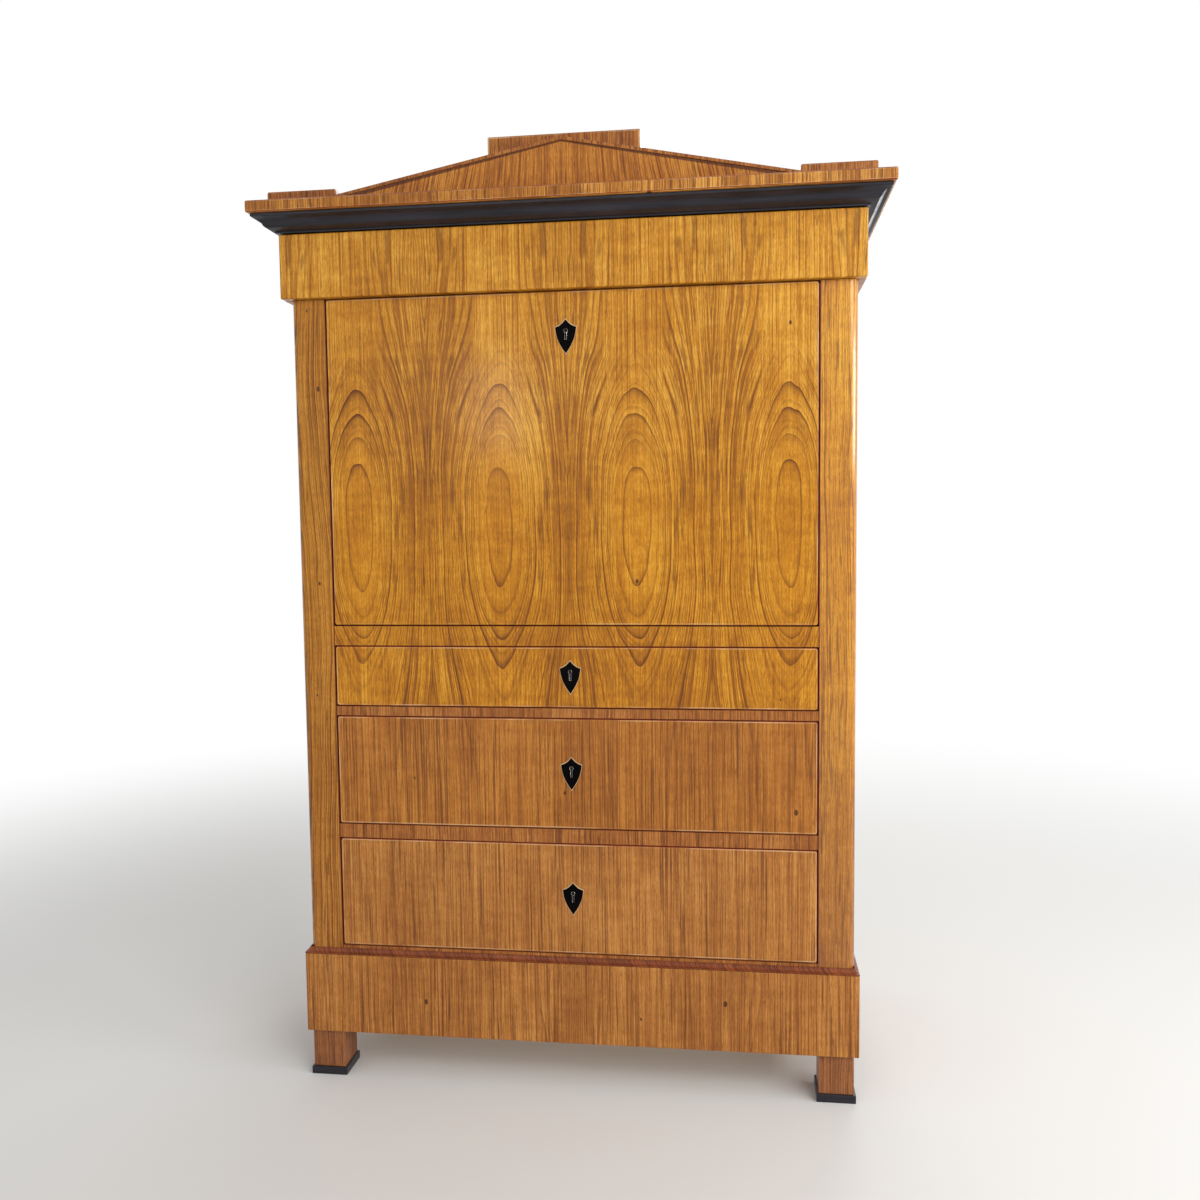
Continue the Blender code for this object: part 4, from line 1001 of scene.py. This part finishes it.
# beds for the irons in the fall's lower corners, with a step at the foot
def bedIrons(front, low, high):
    play = fronts["play"]
    spare = fronts["spare"]
    for name in ("fall_iron_left", "fall_iron_right"):
        ironLow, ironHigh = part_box(name)
        inner = min(abs(ironLow.x), abs(ironHigh.x)) - play
        near, far = sorted(math.copysign(place, ironLow.x) for place in (inner, caseHalf))
        foot = low.z - spare
        bedFrom = Vector((near, ironLow.y - play, foot))
        bedTo = Vector((far, high.y - ironBed["skin"], ironHigh.z + play))
        carve(front, boxCutter(bedFrom, bedTo))
        stepFrom = Vector((near, (low.y + high.y) / 2, foot))
        stepTo = Vector((far, high.y + spare, low.z + ironBed["stepHeight"]))
        carve(front, boxCutter(stepFrom, stepTo))


# the shield's face rises a little towards its middle; a pale line runs round it and a
# thin steel lining goes into the keyhole
def makeShield(name, body, sizes, near, far):
    middle = sizes[0]
    rounding = ((0.0, far), (0.0, near + 0.0005), (-0.0005, near))
    rings = [ringAt(shieldOutline(*sizes, grow), depth) for grow, depth in rounding]
    plate = pieceFromRings(name + "_shield", np.array(rings))
    spare = fronts["spare"]
    carve(plate, prism("cutter", keyholeOutline(middle), near - spare, far + spare))
    settle(plate, shieldBlack, body, "ebonised_wood", name + "_escutcheon")
    outer = shieldOutline(*sizes, shield["line"] - 0.0001)
    inner = shieldOutline(*sizes, 0.0001)
    line = collar(name + "_shield_line", outer, inner, frontY, far)
    settle(line, paleLine, body, "cherry_front")
    outer = keyholeOutline(middle, -0.0001)
    inner = keyholeOutline(middle, -0.0006)
    liner = collar(name + "_keyhole_liner", outer, inner, near - 0.0002, near + 0.004)
    settle(liner, brightSteel, body, "steel")


screw = {
    "across": 0.021,  # from the middle of the lock
    "up": 0.0165,
    "slot": 0.0004,  # half the slot's width
    "cut": 0.005,  # half the length of its cutter
    "profile": ((0.0002, -0.0006), (0.0018, -0.0005), (0.0029, -0.0002), (0.0031, 0.0004)),
}


# slotted screws at the corners of the lock on the inside of the fall
def makeScrews():
    low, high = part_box("fall_lock")
    middle = (low + high) / 2
    for number, (sideX, sideZ) in enumerate(((-1, -1), (1, -1), (-1, 1), (1, 1))):
        x = middle.x + sideX * screw["across"]
        z = middle.z + sideZ * screw["up"]
        head = turnedPiece(f"lock_screw_{number + 1}", screw["profile"], (x, high.y, z))
        wide, tall = screw["slot"], screw["cut"]
        if number % 2 == 0:
            wide, tall = tall, wide
        slotX = x + wide * np.array([-1.0, 1.0, 1.0, -1.0])
        slotZ = z + tall * np.array([-1.0, -1.0, 1.0, 1.0])
        carve(head, prism("cutter", (slotX, slotZ), high.y + 0.0001, high.y + 0.002))
        settle(head, steel, "fall", "steel")


makeScrews()
longDrawers = ("top_drawer", "middle_drawer", "bottom_drawer")
makeFront("fall", "fall_panel", "fall", fallVeneer)
for name in longDrawers:
    makeFront(name, name + "_front", name, frontOnPine)
print("fall and long drawer fronts made")

# frieze, slab, blocks and plinth: boards with rounded edges
boards = (  # axis through the board, corner, edge, finish, slot and nodes
    (1, 0.0025, 0.0022, friezeVeneer, "cherry_front", "frieze_drawer_front"),
    (2, 0.0020, 0.0032, slabVeneer, "cherry_side", "cornice_slab"),
    (1, 0.0015, 0.0016, blockVeneer, "cherry_side", "centre_block"),
    (2, 0.0030, 0.0030, blockVeneer, "cherry_side", "side_block_left", "side_block_right"),
    (1, 0.0020, 0.0018, plinthVeneer, "cherry_front", "plinth_front"),
    (0, 0.0012, 0.0014, sideVeneer, "cherry_side", "plinth_left", "plinth_right"),
    (0, 0.0008, 0.0014, sideVeneer, "cherry_side", "frieze_return_left", "frieze_return_right"),
)
for axis, corner, edge, material, slot, *names in boards:
    for node in names:
        body = "frieze_drawer" if node == "frieze_drawer_front" else "case"
        piece = roundedBoard(node + "_board", *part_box(node), axis, corner, edge)
        settle(piece, material, body, slot, node)

for corner in ("front_left", "front_right", "back_left", "back_right"):
    node = "foot_pad_" + corner
    pad = roundedBoard(node + "_block", *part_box(node), 2, 0.0012, 0.0010)
    settle(pad, black, "case", "ebonised_wood", node)
    dressNode("foot_" + corner, footVeneer, 0.0010)


# the back as upright boards with a V groove where two meet: a notched outline, carried up
def makeBackBoards():
    low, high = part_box("back_panel")
    joints = np.linspace(high.x, low.x, backBoards["count"] + 1)[1:-1]
    x = (joints[:, None] + np.array([1.0, 0.0, -1.0]) * backBoards["groove"]).ravel()
    notch = np.tile([0.0, backBoards["depth"], 0.0], len(joints))
    x = np.concatenate([[low.x, high.x, high.x], x, [low.x]])
    y = np.concatenate([[low.y, low.y, high.y], high.y - notch, [high.y]])
    rings = [np.stack([x, y, np.full_like(x, z)], axis=1) for z in (low.z, high.z)]
    piece = pieceFromRings("back_boards", np.array(rings))
    piece.data.set_sharp_from_angle(angle=math.radians(20))
    settle(piece, pineUpright, "case", "pine", "back_panel")


makeBackBoards()

cornice = {
    "topFillet": 0.005, "topStep": 0.0015,
    "footFillet": 0.002, "footStep": 0.0035,
    "swing": 0.003, "bulge": 0.0015,
    "steps": 26,
    "lip": 0.0008,  # radius of the upper edge
    "back": 0.0004,  # the mouldings start this far outside the case
}


# The black moulding: a fillet, an S curve (a straight slope plus one sine wave) and a
# fillet above
def makeCornice():
    low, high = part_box("cornice_moulding")
    reach = high.x - caseHalf
    inner = friezeSide - caseHalf + cornice["footStep"]
    outer = reach - cornice["topStep"]
    slopeLow = low.z + cornice["footFillet"]
    slopeHigh = high.z - cornice["topFillet"]
    t = np.linspace(0.0, 1.0, cornice["steps"])
    swing = cornice["swing"] * np.sin(2 * math.pi * t) + cornice["bulge"] * np.sin(math.pi * t)
    out = inner + (outer - inner) * t + swing
    slope = np.stack([out, slopeLow + (slopeHigh - slopeLow) * t], 1)
    step = [(outer, 0.0002), (reach - 0.0003, 0.0003), (reach, 0.0007)]
    step = np.array(step) + (0.0, slopeHigh)
    turn = np.linspace(0.0, math.pi / 2, 5)
    lip = cornice["lip"] * np.stack([np.cos(turn) - 1, np.sin(turn) - 1], 1) + (reach, high.z)
    foot = [(cornice["back"], low.z), (inner, low.z)]
    section = np.concatenate([foot, slope, step, lip, [(cornice["back"], high.z)]])
    piece = mitredMoulding("cornice_profile", section)
    settle(piece, black, "case", "ebonised_wood", "cornice_moulding")


bead = {"top": 0.0009, "foot": 0.002, "steps": 12}


# the bead on the plinth: a quarter hollow under a small flat
def makeBead():
    low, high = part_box("plinth_bead")
    proud = high.x - caseHalf
    turn = np.linspace(0.0, math.pi / 2, bead["steps"])
    out = proud - (proud - bead["top"]) * np.sin(turn)
    up = high.z - (high.z - low.z - bead["foot"]) * np.cos(turn)
    back = cornice["back"]
    foot = [(back, low.z), (proud, low.z)]
    section = np.concatenate([foot, np.stack([out, up], 1), [(back, high.z)]])
    piece = mitredMoulding("bead_profile", section)
    settle(piece, beadVeneer, "case", "cherry_side", "plinth_bead")


makeCornice()
makeBead()
print("mouldings made")

# nodes that keep their shape: finish, width of the soft edges and names
dressed = (
    (leftPostVeneer, 0.0008, "post_left"),
    (rightPostVeneer, 0.0008, "post_right"),
    (sideVeneer, 0.0006, "side_left", "side_right"),
    (gableVeneer, 0.0005, "tympanum"),
    (blockVeneer, 0.0006, "raking_moulding"),
    (railEdge, 0.0005, "fall_rail"),
    (boardEdge, 0.0005, "bottom_board", "lower_divider", "upper_divider"),
    (pineAlongX, 0.0005, "frieze_deck"),
    (deckVeneer, 0.0006, "writing_deck"),
    (insertVeneer, 0.0008, "insert_case"),
    (innerDrawer, 0.0006, "insert_drawer_lower_left", "insert_drawer_lower_right"),
    (innerDrawer, 0.0006, "insert_drawer_upper_left", "insert_drawer_upper_right"),
    (pineAlongY, 0.0008, *[name + "_box" for name in ("frieze_drawer", *longDrawers)]),
    (iron, 0.0005, "fall_iron_left", "fall_iron_right"),
    (iron, 0.0004, *[name + "_lock" for name in ("fall", *longDrawers)]),
    (steel, 0.0003, *[name + "_bolt" for name in ("fall", *longDrawers)]),
)
for material, edge, *names in dressed:
    for name in names:
        dressNode(name, material, edge)
print("nodes dressed")

studio = {
    "floorSize": 30.0,
    "floor": (226, 226, 224),
    "fadeFrom": 1.2,
    "fadeTo": 3.2,
    "ambient": 0.50,
    "lamps": {  # place, aim, width, height, watts
        "key": ((2.5, -3.1, 2.7), (0.1, -0.2, 0.9), 2.4, 1.8, 79.0),
        "fill": ((-2.6, -2.6, 1.9), (0.0, -0.2, 0.8), 1.6, 1.6, 5.0),
        "window": ((2.4, -0.7, 1.38), (0.47, -0.2, 1.2), 1.4, 0.42, 27.0),
        "pane": ((-0.6, -2.3, 1.4), (-0.12, -0.2, 1.26), 0.2, 0.3, 2.2),
        "back": ((0.6, 3.6, 2.6), (0.0, 0.2, 0.9), 2.4, 1.8, 60.0),
    },
}


# the world's tree, with the same methods
class WorldWiring(Wiring):
    def __init__(self, tree):
        self.tree = tree


# white where the camera, a reflection or glass sees it; the light itself stays plain
def seenRays(wires):
    path = wires.add("LightPath")
    total = Field(wires, path.outputs["Is Camera Ray"])
    for name in ("Is Glossy Ray", "Is Transmission Ray"):
        adding = wires.add("Math", operation="ADD", use_clamp=True)
        total = wires.run(adding, total, Field(wires, path.outputs[name]))
    return total


def addStudio():
    scene = bpy.context.scene
    world = bpy.data.worlds.new("studio")
    scene.world = world
    world.use_nodes = True
    wires = WorldWiring(world.node_tree)
    level = studio["ambient"]
    light = wires.blend(seenRays(wires), (level, level, level, 1.0), (1.0, 1.0, 1.0, 1.0))
    wires.run(wires.tree.nodes["Background"], Color=light, Strength=1.0)

    half = studio["floorSize"] / 2
    corners = np.array([(-half, -half), (half, -half), (half, half), (-half, half)])
    mesh = bpy.data.meshes.new("floor")
    mesh.from_pydata([(x, y, 0.0) for x, y in corners.tolist()], [], [(0, 1, 2, 3)])
    floor = bpy.data.objects.new("floor", mesh)
    scene.collection.objects.link(floor)
    wires = Wiring("pale_floor")
    x, y, z = wires.split(wires.place)
    away = wires.calc("SQRT", x * x + y * y)
    fade = wires.ease(away, studio["fadeFrom"], studio["fadeTo"])
    glow = wires.run(wires.add("Emission"), Strength=1.0)
    plain = Field(wires, wires.shader.outputs[0])
    mixed = wires.run(wires.add("MixShader"), fade * seenRays(wires), plain, glow)
    wires.feed(wires.tree.nodes["Material Output"].inputs["Surface"], mixed)
    wires.surface(tint(*studio["floor"]), 0.8)
    mesh.materials.append(wires.material)

    for name, (place, aim, width, height, watts) in studio["lamps"].items():
        lamp = bpy.data.lights.new(name, "AREA")
        lamp.shape = "RECTANGLE"
        lamp.size = width
        lamp.size_y = height
        lamp.energy = watts
        holder = bpy.data.objects.new(name, lamp)
        holder.location = place
        direction = Vector(aim) - Vector(place)
        holder.rotation_euler = direction.to_track_quat("-Z", "Y").to_euler()
        scene.collection.objects.link(holder)
    scene.view_settings.view_transform = "Standard"


addStudio()
print("studio lit")
